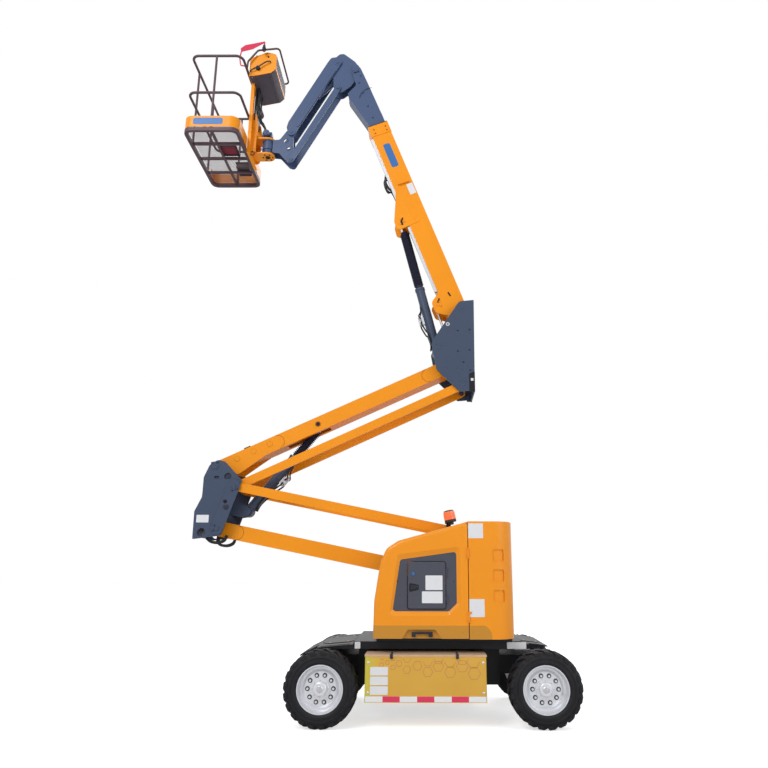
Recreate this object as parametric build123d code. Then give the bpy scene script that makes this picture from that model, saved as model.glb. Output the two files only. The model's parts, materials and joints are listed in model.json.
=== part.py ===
"""Articulating boom lift: chassis, turntable, two-stage riser, telescopic boom, jib and platform.

All sizes are millimetres. +X points to the counterweight and steering end, -X to the drive end over
which the platform hangs, +Y to the far side and +Z up. The model is drawn about the slew axis
(x = 0, y = 0, floor at z = 0) and moved along X at the end, so that the origin lies on the floor
under the middle of the machine's whole length.
"""
from math import atan2, cos, degrees, hypot, radians, sin
import os

from build123d import *

# ---- chassis, wheels and steering -------------------------------------------------------------
WHEELBASE = 2154
WIDTH = 1762            # over the tyres
TYRE_R = 355
TYRE_W = 240
RIM_R = 236             # rim flange
RIM_WALL = 9
DISC_T = 14
DISC_Y = WIDTH / 2 - 76         # outer face of the wheel disc
WHEEL_BOLTS = 10
FRAME_HALF = 300        # half width of the chassis beam
FRAME_BOTTOM = 316
FRAME_TOP = 690
FRAME_REAR = 700        # ends of the beam along X
FRAME_FRONT = -760
PLATE = 12              # chassis and deck plate thickness
DECK_TOP = 764
DECK_FRONT = -1158
DECK_REAR = 975
DECK_HALF = 600
BOX_FRONT = -651        # battery boxes between the wheels
BOX_REAR = 513
BOX_BOTTOM = 240
BOX_TOP = 650
BOX_OUT = 860
BOX_IN = 320
SADDLE = 70             # how far the axle saddles reach past the wheel centres
LUG_R = 48              # tie-down lugs at the four corners of the frame
LUG_BORE = 22
LUG_T = 20
LUG_AT = (190, 655)             # their bores, across and up
BOX_WALL = 6
BATTERY_TOP = 560
KINGPIN_Y = 600
KINGPIN_R = 26
AXLE_HALF = 62          # half height of both axle beams
STEER_ARM = 130
STEER_ROD_R = 14
STEER_GAP = 16          # between the rod's ends and the steering arms
STEER_BARREL_R = 30
STEER_BARREL_HALF = 190

# ---- turntable --------------------------------------------------------------------------------
RING_R = 360
RING_BORE = 250
BASE_TOP = 802
BASE_T = 30
SEAT = 0.3              # running gap between faces that turn on each other
RING_TOP = BASE_TOP - BASE_T - SEAT
BASE_HALF = 690
SIDE_OUT = 800          # outer face of hoods and tail
SIDE_IN = 318           # inner face of hoods and tail, beside the arm slot
HOOD_FRONT = -587
HOOD_BOTTOM = 808
SEAM_X = 362            # joint between hood and tail
SEAM_GAP = 8
SEAM_TOP = 1937
HOOD_SHOULDER = (-465, 1668)
TAIL_REAR = 819
TAIL_TOP = 1940
SLOT_SILL = 1500        # height of the tail's low wall behind the arm slot
SKIN = 10               # hood wall
HOOD_ROUND = 40         # outer edges of the hoods
TAIL_ROUND = 200        # rear corners of the tail in plan
TAIL_SKIN = 20
VENT_DEPTH = 12         # pressed recesses beside the tail's rear corners
VENTS = ((1541, 1659), (1347, 1463), (1150, 1265))
VENT_X = (604, 716)
PANEL_DEPTH = 22        # dark side panel below the hood's outer face
PANEL_T = 6
PANEL_RIM = 52          # width of the bevel round the panel, on average
RECESS = (-299, -244, 26, 87, 85)       # hand recess: foot and top from and to, height
BEACON = (185, -322, 1952)      # foot of the beacon
BEACON_LEAN = -8
HINGE_R = 9             # hood hinge barrels, on the seam just outside the skin
HINGE_Y = SIDE_OUT + HINGE_R
HINGE_AT = (1010, 1620)         # heights of the two hinges of each hood
HINGE_L = 60
PANEL = (-396, 241, 1062, 1637)  # side panel: x from, x to, z from, z to
DOOR = (-252, 137, 1079, 1543)   # control door, the same way
DOOR_PROUD = 14         # how far the door stands off its panel
DOOR_GAP = 6
DOOR_HINGES = (1180, 1440)
DOOR_HINGE_R = 7
DOOR_HINGE_X = 8        # door hinge axis behind the opening's edge
WEIGHT_H = 620          # counterweight blocks and power packs over the base plate
PACK_H = 420
TOWER_IN = 268          # tower plates stand outside turret and links
TOWER_T = 22

# ---- riser: two parallelograms, one above the other -------------------------------------------
ARM_LENGTH = 2826       # pin to pin, all four arms and links
LOWER_ANGLE = 11.4      # lower arm above the horizontal as drawn
UPPER_ANGLE = 24.82     # upper arm above the horizontal as drawn
LOWER_PIN = (426, 1336)         # lower arm on the tower
LINK_OFFSET_LOW = (154, 464)    # from the lower arm's pins to the lower link's pins
KNUCKLE_UPPER = (-71, 686)      # from the lower arm's pin to the upper arm's pin on the knuckle
LINK_OFFSET_HIGH = (225, -222)  # from the upper arm's pins to the upper link's pins
ARM_HALF = 128          # half width of both arms
ARM_H = 166             # depth of both arms
ARM_WALL = 8
PIN_R = 32
PIN_FIT = 0.5           # radial clearance of every bore on its pin
LINK_LOW = (244, 262)   # lower link bars, between turret and tower layers
LINK_LOW_H = 100
LINK_HIGH = (186, 212)  # upper link bars, inside the turret plates
LINK_HIGH_H = 96
TURRET_IN = 222
TURRET_T = 16
KNUCKLE_T = 12          # rounded upper plates
KNUCKLE_DOUBLER = 6     # lower doublers on them
KNUCKLE_STRAP = 8       # straps over the two lower hinge pins
SHOE = 3                # how far the arms' end shoes and plugs stand out
SHOE_REACH = 127
PLUG_R = 30
PLUGS = ((225, 12), (426, 14), (626, 18))       # along and across the upper arm
STOP = (318, 410, 32)   # boom rest on the upper arm: from, to, height
RISER_BASE = (264, 206)         # riser cylinder base, from the lower arm's pin on the knuckle
RISER_ROD_AT = (1220, 0)        # riser rod eye: along and across the upper arm
VALVE = (96, 62, 30)    # load-holding valves: along, off the barrel, half across
RISER_SET = (-1.02, -1.4)       # turn and stretch as drawn that keep the eye nearest its pin

# ---- boom -------------------------------------------------------------------------------------
BOOM_PIN = (209, 746)           # boom pivot, from the upper arm's pin on the turret
LIFT_BASE = (-65, 224)          # lift cylinder base, from the same pin
LEVEL_BASE = (180, -60)         # levelling cylinder base, from the same pin
BOOM_ANGLE = 111.1
BOOM_LENGTH = 2800
BOOM_HALF = 110
BOOM_BACK = 88          # back face of the box from the pivot
BOOM_H = 256
BOOM_WALL = 10
WEAR_PAD = 8            # gap between the boom sections
PAD_LENGTH = 70
EAR_PROUD = 5           # how far the ear plates stand outside the box
COLLAR_START = 2640     # thicker mouth of the outer section
COLLAR_T = 6
TRACK = (330, 2620, -98, -66, 34)       # hose track: from s to s, from y to y, depth
LIFT_ROD_AT = (1353, 262)       # lift rod eye: along and across the boom
LEVEL_ROD_AT = (158, 229)
LIFT_SET = (-0.68, 0.4)
LEVEL_SET = (0.79, -2.3)
INNER_START = 200
INNER_END = 2960

# ---- head, jib and foot -----------------------------------------------------------------------
HEAD_PIN = (3713, 26)           # head hinge, along and across the boom
JIB_TOP = (-238, 122)           # jib arm pin, from the head hinge
JIB_LINK_DROP = (15, -400)      # from the jib arm's pins to the jib link's pins
JIB_LENGTH = 1223
JIB_ANGLE = -118.0
JIB_ROD_AT = 700        # jib cylinder's rod eye along the jib arm
JIB_BASE = (1, -198)            # jib cylinder base, from the jib arm's pin on the head
JIB_SET = (-5.1, 7.5)
JIB_PIN_R = 22
JIB_CHEEK = (76, 90)    # jib cheeks and link bars, outside the cheeks of head and foot
ROTATOR_AT = (-307, -198)       # rotator axis and middle, from the jib arm's pin on the foot
ROTATOR_R = 72
ROTATOR_H = 200

# ---- platform ---------------------------------------------------------------------------------
PLATFORM_W = 680        # along X
PLATFORM_L = 1260       # along Y
PLATFORM_GAP = 228      # from the rotator axis to the platform's edge
FLOOR_BELOW = 176       # floor underside, below the rotator's middle
FLOOR_H = 60
TOE_H = 150
RAIL_H = 1100
MID_RAIL_H = 560
RAIL_R = 16
TOE_T = 6
RAIL_INSET = TOE_T + RAIL_R     # rail centre line from the platform's outline
CORNER = 110
TOE_WRAP = 150          # how far the toe boards run along the entry side
POST_Y = 175            # bracket posts: across, width, depth and height over the floor
POST_W = 56
POST_D = 42
POST_H = 1030
CONSOLE = (-340, 240)   # control box from y to y, and how far it stands out of the platform
CONSOLE_REACH = 346
CONSOLE_WALL = 6
GUARD_GAP = 36          # guard tube clear of the console
GUARD_RISE = 290        # guard tube over the top rail
GUARD_R = 12
FLAG_POST_R = 10
JAW = (90, 20, 0.4)     # bracket jaws round the rotator: half width, thickness, gap


# ---- helpers ----------------------------------------------------------------------------------
def add(p, q):
    return (p[0] + q[0], p[1] + q[1])


def polar(length, angle):
    return (length * cos(radians(angle)), length * sin(radians(angle)))


def along(origin, angle, s, n):
    """The point s along and n across (to the left of) a line at this angle."""
    c, d = cos(radians(angle)), sin(radians(angle))
    return (origin[0] + s * c - n * d, origin[1] + s * d + n * c)


def plate(points, y0, y1, radii=0):
    """A plate with this side outline of (x, z) points, from y0 to y1; one corner radius or one each."""
    face = Face(Wire.make_polygon([Vector(x, y0, z) for x, z in points], close=True))
    if isinstance(radii, int):
        radii = [radii] * len(points)
    for (x, z), r in zip(points, radii):
        if r:
            face = face.fillet_2d(r, [min(face.vertices(), key=lambda v: hypot(v.X - x, v.Z - z))])
    return extrude(face, amount=y1 - y0, dir=(0, 1, 0))


def pin(at, r, y0, y1):
    return Pos(at[0], (y0 + y1) / 2, at[1]) * Rot(90, 0, 0) * Cylinder(r, abs(y1 - y0))


def rod(p, q, r, y=0):
    """A round bar from p to q, both (x, z)."""
    start = Vector(p[0], y, p[1])
    path = Vector(q[0], y, q[1]) - start
    plane = Plane(origin=start, z_dir=path.normalized())
    return extrude(plane * Circle(r), amount=path.length)


def block(x0, x1, y0, y1, z0, z1):
    return Pos((x0 + x1) / 2, (y0 + y1) / 2, (z0 + z1) / 2) * Box(x1 - x0, y1 - y0, z1 - z0)


def tube(points, r, bend):
    """A bent round bar through (x, y, z) points, its corners rounded to the bend radius."""
    path = FilletPolyline(*points, radius=bend) if len(points) > 2 else Polyline(*points)
    start = path.position_at(0)
    return sweep(Plane(origin=start, z_dir=path.tangent_at(0)) * Circle(r), path=path)


def both(shape):
    """The shape and its mirror image across the machine's middle plane."""
    return shape + mirror(shape, Plane.XZ)


def bar(p, q, h, y0, y1):
    """A link with round ends of diameter h, from p to q."""
    angle = degrees(atan2(q[1] - p[1], q[0] - p[0]))
    length = hypot(q[0] - p[0], q[1] - p[1])
    corners = [(0, -h / 2), (length, -h / 2), (length, h / 2), (0, h / 2)]
    link_bar = plate([along(p, angle, *at) for at in corners], y0, y1)
    return link_bar + pin(p, h / 2, y0, y1) + pin(q, h / 2, y0, y1)


def box_beam(origin, angle, s0, s1, n0, n1, half, wall):
    """A hollow welded beam, open at both ends, along a line at this angle."""
    outer = [along(origin, angle, s, n) for s, n in ((s0, n0), (s1, n0), (s1, n1), (s0, n1))]
    inner = [along(origin, angle, s, n) for s, n in
             ((s0 - 1, n0 + wall), (s1 + 1, n0 + wall), (s1 + 1, n1 - wall), (s0 - 1, n1 - wall))]
    return plate(outer, -half, half) - plate(inner, wall - half, half - wall)


# ---- pins of the riser, worked out from the driving dimensions --------------------------------
LOWER_LINK_PIN = add(LOWER_PIN, LINK_OFFSET_LOW)
KNUCKLE_PIN = add(LOWER_PIN, polar(ARM_LENGTH, 180 - LOWER_ANGLE))
SHARED_PIN = add(KNUCKLE_PIN, LINK_OFFSET_LOW)
UPPER_PIN = add(KNUCKLE_PIN, KNUCKLE_UPPER)
LINK_HIGH_FOOT = add(UPPER_PIN, LINK_OFFSET_HIGH)
TURRET_PIN = add(UPPER_PIN, polar(ARM_LENGTH, UPPER_ANGLE))
TURRET_LINK_PIN = add(TURRET_PIN, LINK_OFFSET_HIGH)
RISER_BASE_PIN = add(KNUCKLE_PIN, RISER_BASE)
RISER_ROD_PIN = along(UPPER_PIN, UPPER_ANGLE, *RISER_ROD_AT)
PIVOT = add(TURRET_PIN, BOOM_PIN)
LIFT_BASE_PIN = add(TURRET_PIN, LIFT_BASE)
LEVEL_BASE_PIN = add(TURRET_PIN, LEVEL_BASE)
LIFT_ROD_PIN = along(PIVOT, BOOM_ANGLE, *LIFT_ROD_AT)
LEVEL_ROD_PIN = along(PIVOT, BOOM_ANGLE, *LEVEL_ROD_AT)
HEAD_HINGE = along(PIVOT, BOOM_ANGLE, *HEAD_PIN)
JIB_PIN = add(HEAD_HINGE, JIB_TOP)
JIB_LINK_PIN = add(JIB_PIN, JIB_LINK_DROP)
FOOT_PIN = add(JIB_PIN, polar(JIB_LENGTH, JIB_ANGLE))
FOOT_LINK_PIN = add(FOOT_PIN, JIB_LINK_DROP)
JIB_BASE_PIN = add(JIB_PIN, JIB_BASE)
JIB_ROD_PIN = add(JIB_PIN, polar(JIB_ROD_AT, JIB_ANGLE))
ROTATOR = add(FOOT_PIN, ROTATOR_AT)
PLATFORM_EDGE = ROTATOR[0] - PLATFORM_GAP
FLOOR_BOTTOM = ROTATOR[1] - FLOOR_BELOW
FRAME_SHIFT = -((PLATFORM_EDGE - PLATFORM_W) + (WHEELBASE / 2 + TYRE_R)) / 2

parts = {}


# ---- chassis ----------------------------------------------------------------------------------
def chassis_frame():
    """Open-bottomed beam with the two axle saddles and the tie-down lugs on their ends."""
    beam = block(FRAME_FRONT, FRAME_REAR, -FRAME_HALF, FRAME_HALF, FRAME_BOTTOM, FRAME_TOP)
    beam -= block(FRAME_FRONT + PLATE, FRAME_REAR - PLATE, PLATE - FRAME_HALF, FRAME_HALF - PLATE,
                  FRAME_BOTTOM, FRAME_TOP - PLATE)
    lug_y, lug_z = LUG_AT
    for end, edge in ((-1, FRAME_FRONT), (1, FRAME_REAR)):
        tip = end * (WHEELBASE / 2 + SADDLE)
        x0, x1 = sorted((edge, tip))
        beam += block(x0, x1, 60 - FRAME_HALF, FRAME_HALF - 60, TYRE_R + AXLE_HALF, FRAME_TOP - 90)
        x0, x1 = sorted((tip, tip + end * LUG_T))
        lug = block(x0, x1, lug_y - LUG_R, lug_y + LUG_R, FRAME_TOP - 150, lug_z)
        bore = Pos((x0 + x1) / 2, lug_y, lug_z) * Rot(0, 90, 0)
        beam += both(lug + bore * Cylinder(LUG_R, LUG_T) - bore * Cylinder(LUG_BORE, LUG_T + 2))
    return beam


def deck():
    """Flat deck with a folded skirt, standing on cross webs over the beam."""
    top = block(DECK_FRONT, DECK_REAR, -DECK_HALF, DECK_HALF, DECK_TOP - PLATE, DECK_TOP)
    skirt = block(DECK_FRONT, DECK_REAR, -DECK_HALF, DECK_HALF, DECK_TOP - 45, DECK_TOP)
    skirt -= block(DECK_FRONT + 8, DECK_REAR - 8, 8 - DECK_HALF, DECK_HALF - 8, DECK_TOP - 45, DECK_TOP)
    webs = [block(x - 6, x + 6, -FRAME_HALF, FRAME_HALF, FRAME_TOP, DECK_TOP - PLATE)
            for x in (FRAME_FRONT + 60, FRAME_REAR - 60)]
    hole = Pos(0, 0, DECK_TOP) * Cylinder(RING_R + 20, 200)
    return (top + skirt - hole) + webs[0] + webs[1]


def battery_box():
    """Pressed box with a lipped lid, windowed towards the beam that its two brackets hold it to."""
    box = block(BOX_FRONT, BOX_REAR, BOX_IN, BOX_OUT, BOX_BOTTOM, BOX_TOP)
    box = fillet(box.edges().filter_by(Axis.Z), 12)
    box += block(BOX_FRONT - 4, BOX_REAR + 4, BOX_IN, BOX_OUT + 4, BOX_TOP, BOX_TOP + 18)
    box -= block(BOX_FRONT + BOX_WALL, BOX_REAR - BOX_WALL, BOX_IN + BOX_WALL, BOX_OUT - BOX_WALL,
                 BOX_BOTTOM + BOX_WALL, BOX_TOP + BOX_WALL)
    box -= block(BOX_FRONT + 80, BOX_REAR - 80, BOX_IN - 1, BOX_IN + BOX_WALL + 1, 410, 550)
    for z0, z1 in ((350, 390), (565, 590)):
        box += block(BOX_FRONT + 100, BOX_REAR - 100, FRAME_HALF, BOX_IN, z0, z1)
    return box


def axle(x, half_width, half_depth=70):
    return block(x - half_depth, x + half_depth, -half_width, half_width,
                 TYRE_R - AXLE_HALF, TYRE_R + AXLE_HALF)


def kingpin_fork(x):
    """Beam ends: an upper and a lower jaw either side of the knuckle's barrel."""
    shape = axle(x, KINGPIN_Y - 62, 50)
    fork = block(x - 45, x + 45, KINGPIN_Y - 90, KINGPIN_Y - 62, TYRE_R - 92, TYRE_R + 92)
    for z0 in (TYRE_R - 92, TYRE_R + 62):
        fork += block(x - 45, x + 45, KINGPIN_Y - 90, KINGPIN_Y, z0, z0 + 30)
        fork += Pos(x, KINGPIN_Y, z0 + 15) * Cylinder(45, 30)
    fork += Pos(x, KINGPIN_Y, TYRE_R) * Cylinder(KINGPIN_R, 190)
    return shape + both(fork)


def steer_knuckle(side):
    """Barrel on the kingpin, wheel spindle and steering arm with its ball stud."""
    x, y = WHEELBASE / 2, side * KINGPIN_Y
    barrel = Pos(x, y, TYRE_R) * Cylinder(46, 122)
    spindle = pin((x, TYRE_R), 40, y, side * (WIDTH / 2 - 60))
    arm = block(x - STEER_ARM - 20, x, *sorted((y - side * 5, y + side * 33)), TYRE_R - 20, TYRE_R + 20)
    return barrel + spindle + arm - Pos(x, y, TYRE_R) * Cylinder(KINGPIN_R + PIN_FIT, 200)


def steer_barrel():
    """Double-ended steering cylinder, clamped to the axle by two brackets."""
    x = WHEELBASE / 2 - STEER_ARM
    barrel = pin((x, TYRE_R), STEER_BARREL_R, -STEER_BARREL_HALF, STEER_BARREL_HALF)
    barrel += both(pin((x, TYRE_R), STEER_BARREL_R + 6, STEER_BARREL_HALF - 24, STEER_BARREL_HALF))
    brackets = block(x, WHEELBASE / 2 - 50, 90, 110, TYRE_R - 40, TYRE_R + 40)
    return barrel + both(brackets) - pin((x, TYRE_R), STEER_ROD_R + PIN_FIT, -WIDTH, WIDTH)


def steer_rod():
    """Through rod of the steering cylinder, with the eye of each steering arm drawn at its ends."""
    x, end = WHEELBASE / 2 - STEER_ARM, KINGPIN_Y - 5 - STEER_GAP
    rod_bar = pin((x, TYRE_R), STEER_ROD_R, -end, end)
    return rod_bar + both(pin((x, TYRE_R), STEER_ROD_R + 6, end - 40, end))


def drive_axle():
    """Cast axle with a gear case and motor in the middle and a hub gearbox up to each wheel disc."""
    x = -WHEELBASE / 2
    body = axle(x, 330, 55)
    body += pin((x, TYRE_R - 45), 105, -100, 100)
    body += rod((x, TYRE_R), (x + 300, TYRE_R), 62)
    hub = pin((x, TYRE_R), 88, 320, 470) + pin((x, TYRE_R), 120, 470, DISC_Y - DISC_T - SEAT)
    return body + both(fillet(hub.edges().filter_by(GeomType.CIRCLE).sort_by(Axis.Y)[0], 20))


def tyre(x, side):
    """Solid tyre turned about its axle: crowned tread, rounded shoulders and a narrower bead."""
    y1, half = WIDTH / 2, TYRE_W / 2
    middle = y1 - half
    outline = [(RIM_R - 14, middle - half + 14), (RIM_R + 6, middle - half), (TYRE_R - 40, middle - half),
               (TYRE_R - 4, middle - half + 40), (TYRE_R, middle), (TYRE_R - 4, middle + half - 40),
               (TYRE_R - 40, middle + half), (RIM_R + 6, middle + half), (RIM_R - 14, middle + half - 14)]
    face = Face(Wire.make_polygon([Vector(x + r, y, TYRE_R) for r, y in outline], close=True))
    for corner in (2, 3, 5, 6):
        r, y = outline[corner]
        face = face.fillet_2d(14, [min(face.vertices(), key=lambda v: hypot(v.X - x - r, v.Y - y))])
    body = revolve(face, Axis((x, 0, TYRE_R), (0, 1, 0)), 360)
    return body if side > 0 else mirror(body, Plane.XZ)


def rim(x, side):
    """Dished disc wheel turned about the axle: flanges, well, dished disc with wheel bolts, and hub."""
    out, back = DISC_Y + 62, WIDTH / 2 - TYRE_W + 6
    well, disc = RIM_R - 14.3, DISC_Y
    inner, inside = well - RIM_WALL, disc - DISC_T
    outline = [(60, inside), (150, inside), (172, inside - 18), (inner, inside - 18), (inner, back),
               (well, back), (well, out), (inner, out), (inner - 10, disc + 10), (inner - 18, disc - 16),
               (176, disc - 16), (154, disc), (60, disc)]
    face = Face(Wire.make_polygon([Vector(x + r, y, TYRE_R) for r, y in outline], close=True))
    body = revolve(face, Axis((x, 0, TYRE_R), (0, 1, 0)), 360)
    hub = pin((x, TYRE_R), 92, disc - DISC_T, disc + 20) + pin((x, TYRE_R), 66, disc + 20, disc + 50)
    hub = fillet(hub.edges().filter_by(GeomType.CIRCLE).sort_by(Axis.Y)[-1], 14)
    if x > 0:
        hub -= pin((x, TYRE_R), 40 + PIN_FIT, disc - 20, WIDTH / 2 - 59)
    bolt = Pos(x, disc + 8, TYRE_R) * Rot(90, 0, 0) * PolarLocations(124, WHEEL_BOLTS) * Cylinder(11, 18)
    for one in bolt:
        body += one
    body += hub
    return body if side > 0 else mirror(body, Plane.XZ)


parts["chassis_frame"] = chassis_frame()
parts["deck"] = deck()
parts["near_battery_box"] = mirror(battery_box(), Plane.XZ)
parts["far_battery_box"] = battery_box()
parts["battery_packs"] = both(block(BOX_FRONT + 40, BOX_REAR - 40, BOX_IN + 30, BOX_OUT - 30,
                                    BOX_BOTTOM + BOX_WALL, BATTERY_TOP))
parts["drive_axle"] = drive_axle()
parts["steer_axle"] = kingpin_fork(WHEELBASE / 2)
parts["steer_barrel"] = steer_barrel()
parts["steer_rod"] = steer_rod()
for side, name in ((-1, "near"), (1, "far")):
    parts[name + "_steer_knuckle"] = steer_knuckle(side)
    for x, end in ((-WHEELBASE / 2, "drive"), (WHEELBASE / 2, "steer")):
        parts[f"{name}_{end}_tyre"] = tyre(x, side)
        parts[f"{name}_{end}_rim"] = rim(x, side)
parts["slew_ring"] = Pos(0, 0, (FRAME_TOP + RING_TOP) / 2) * (
    Cylinder(RING_R, RING_TOP - FRAME_TOP) - Cylinder(RING_BORE, RING_TOP))


# ---- turntable --------------------------------------------------------------------------------
def turntable_base():
    """Base plate, the two outer tower plates and the bulkheads beside the arm slot."""
    base = block(HOOD_FRONT + 30, TAIL_REAR - 30, -BASE_HALF, BASE_HALF, BASE_TOP - BASE_T, BASE_TOP)
    r, t = LOWER_PIN, LOWER_LINK_PIN
    outline = [(r[0] - 230, BASE_TOP), (t[0] + 110, BASE_TOP), (t[0] + 90, t[1]), (t[0] + 60, t[1] + 80),
               (t[0] - 60, t[1] + 80), (t[0] - 95, t[1]), (r[0] - 95, r[1] + 40)]
    tower = plate(outline, TOWER_IN, TOWER_IN + TOWER_T)
    tower += pin(r, PIN_R + 24, TOWER_IN + TOWER_T, TOWER_IN + TOWER_T + 10)
    tower += pin(t, PIN_R - 4, LINK_LOW[0] + 1, TOWER_IN)
    bx, by, bz = BEACON
    face = -(TOWER_IN + TOWER_T)
    mast = block(bx - 25, bx + 25, face - 10, face, r[1], bz)
    mast += block(bx - 25, r[0] - 60, face - 10, face, r[1], r[1] + 60)
    mast += block(bx - 40, bx + 40, by - 40, face, bz - 8, bz)
    web = block(r[0] - 120, r[0] + 150, -TOWER_IN, TOWER_IN, BASE_TOP, BASE_TOP + 200)
    web -= block(r[0] - 100, r[0] + 130, -TOWER_IN, TOWER_IN, BASE_TOP + 1, BASE_TOP + 185)
    return base + both(tower) + web + mast + pin(r, PIN_R, -TOWER_IN, TOWER_IN)


def hinge_barrels(x, y, leaf, heights, length, r, bore):
    """Bored barrels on a short leaf that runs along X from the axis."""
    x0, x1 = sorted((x, x + leaf))
    shape = Part()
    for z in heights:
        barrel = Pos(x, y, z) * Cylinder(r, length)
        barrel += block(x0, x1, y - r, y - r + 4, z - length / 2, z + length / 2)
        shape += barrel - Pos(x, y, z) * Cylinder(bore, length + 2)
    return shape


def hinge_pins(x, y, leaf, heights, length, r, pin_r):
    """The fixed halves: a lug above and below each barrel, joined by the pin."""
    x0, x1 = sorted((x, x + leaf))
    shape = Part()
    for z in heights:
        for end in (-1, 1):
            at = z + end * (length / 2 + 11)
            shape += Pos(x, y, at) * Cylinder(r, 20) + block(x0, x1, y - r, y - r + 4, at - 10, at + 10)
        shape += Pos(x, y, z) * Cylinder(pin_r, length + 30)
    return shape


def hood_outline(inset):
    """Side outline of a hood: steep rounded nose, sloping top, open ends at the seam and the base."""
    sx, sz = HOOD_SHOULDER
    end = SEAM_X - SEAM_GAP if inset == 0 else SEAM_X
    bottom = HOOD_BOTTOM if inset == 0 else HOOD_BOTTOM - 1
    points = [(HOOD_FRONT + inset, bottom), (HOOD_FRONT + inset + 7, HOOD_BOTTOM + 357),
              (sx - 60 + inset, sz - 142), (sx + inset / 2, sz - inset / 2),
              (sx + 121 + inset / 4, sz + 78 - inset), (end, SEAM_TOP - inset), (end, bottom)]
    return points, [0, 120, 150, 120, 150, 0, 0]


def panel_outline(grow):
    """Outline of the side panel, or of the bevel round it when grown."""
    x0, x1, z0, z1 = PANEL
    return [(x0 - 0.6 * grow, z0 - 0.8 * grow), (x0 + 72 - 0.5 * grow, z1 - 78 + grow),
            (x1 + 0.8 * grow, z1 + grow), (x1 + 0.8 * grow, z0 + 75), (x1 - 80, z0 - 0.8 * grow)]


def bevelled_pocket():
    """The panel's recess: its outer outline tapers to the panel's own across the depth."""
    outer, inner = [
        Face(Wire.make_polygon([Vector(x, y, z) for x, z in panel_outline(grow)], close=True))
        for grow, y in ((PANEL_RIM, SIDE_OUT), (0, SIDE_OUT - PANEL_DEPTH))]
    outer, inner = outer.fillet_2d(40, outer.vertices()), inner.fillet_2d(28, inner.vertices())
    return loft([outer, inner])


def handle_recess(grow, y0, y1):
    """The hand recess at a hood's foot, or its backing when grown."""
    foot0, top0, top1, foot1, height = RECESS
    top = HOOD_BOTTOM + height + grow
    return plate([(foot0 - grow, HOOD_BOTTOM - 1), (top0 - grow, top), (top1 + grow, top),
                  (foot1 + grow, HOOD_BOTTOM - 1)], y0, y1, [0, 30, 30, 0])


def rim_edges(shape, face_y, seam):
    """Edges of the side face at y that run from the base over nose and top to the seam."""
    boxes = [(e, e.bounding_box()) for e in shape.edges()]
    return [e for e, b in boxes if b.min.Y > face_y - 1 and b.max.Z > HOOD_BOTTOM + 1 and b.min.X < seam]


def hood(side):
    """Moulded cover open towards the slot, the tail and the base, with its bevelled panel opening."""
    shell = plate(hood_outline(0)[0], SIDE_IN, SIDE_OUT, hood_outline(0)[1])
    shell = fillet(rim_edges(shell, SIDE_OUT, SEAM_X - 20), HOOD_ROUND)
    void = plate(hood_outline(SKIN)[0], SIDE_IN - 1, SIDE_OUT - SKIN, hood_outline(SKIN)[1])
    void = fillet(rim_edges(void, SIDE_OUT - SKIN, SEAM_X - 1), HOOD_ROUND - SKIN)
    backing = plate(panel_outline(PANEL_RIM + 8), SIDE_OUT - PANEL_DEPTH - PANEL_T - 6,
                    SIDE_OUT - SKIN, 30)
    backing += handle_recess(8, SIDE_OUT - 40, SIDE_OUT - SKIN)
    shell -= void
    shell += backing & plate(hood_outline(0)[0], SIDE_IN, SIDE_OUT)
    shell -= bevelled_pocket() + plate(panel_outline(0), SIDE_OUT - 60, SIDE_OUT - PANEL_DEPTH + 1, 28)
    shell -= handle_recess(0, SIDE_OUT - 30, SIDE_OUT + 1)
    shell += hinge_barrels(SEAM_X - SEAM_GAP / 2, HINGE_Y, -30, HINGE_AT, HINGE_L, HINGE_R, 5 + PIN_FIT)
    return shell if side > 0 else mirror(shell, Plane.XZ)


def side_panel(side):
    """Dark panel seated in the hood's bevelled opening; the near one carries the control door."""
    out = SIDE_OUT - PANEL_DEPTH
    panel = plate(panel_outline(-SEAT), out - PANEL_T, out, 28)
    if side < 0:
        x0, x1, z0, z1 = DOOR
        panel -= plate([(x0, z0), (x0, z1), (x1, z1), (x1, z0)], out - PANEL_T - 1, out + 1, 25)
        panel += hinge_pins(x1 + DOOR_HINGE_X, out + DOOR_HINGE_R, 20, DOOR_HINGES, 40, DOOR_HINGE_R, 3)
    return panel if side > 0 else mirror(panel, Plane.XZ)


def control_door():
    """Cushion-edged door in the near side panel, on two small hinges at its rear edge."""
    x0, x1, z0, z1 = DOOR
    out = SIDE_OUT - PANEL_DEPTH
    g = DOOR_GAP
    leaf = plate([(x0 + g, z0 + g), (x0 + g, z1 - g), (x1 - g, z1 - g), (x1 - g, z0 + g)], out - PANEL_T,
                 out + DOOR_PROUD, 22)
    front = [e for e in leaf.edges() if min(v.Y for v in e.vertices()) > out + DOOR_PROUD - 1]
    leaf = fillet(front, 9)
    near, far = x0 + g + 14, x0 + 118
    leaf -= plate([(near, z0 + 165), (near, z0 + 255), (far, z0 + 235), (far, z0 + 185)],
                  out + DOOR_PROUD - 10, out + DOOR_PROUD + 1, 12)
    leaf += hinge_barrels(x1 + DOOR_HINGE_X, out + DOOR_HINGE_R, -30, DOOR_HINGES, 40,
                          DOOR_HINGE_R - 1, 3 + PIN_FIT)
    return mirror(leaf, Plane.XZ)


def tail_form(inset, bottom, top):
    """The tail's outer form or, inset, its inside: large rounded rear corners in plan."""
    front = SEAM_X if inset == 0 else SEAM_X - 1
    form = block(front, TAIL_REAR - inset, inset - SIDE_OUT, SIDE_OUT - inset, bottom, top)
    return fillet(form.edges().filter_by(Axis.Z).sort_by(Axis.X)[2:], TAIL_ROUND - inset)


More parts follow.
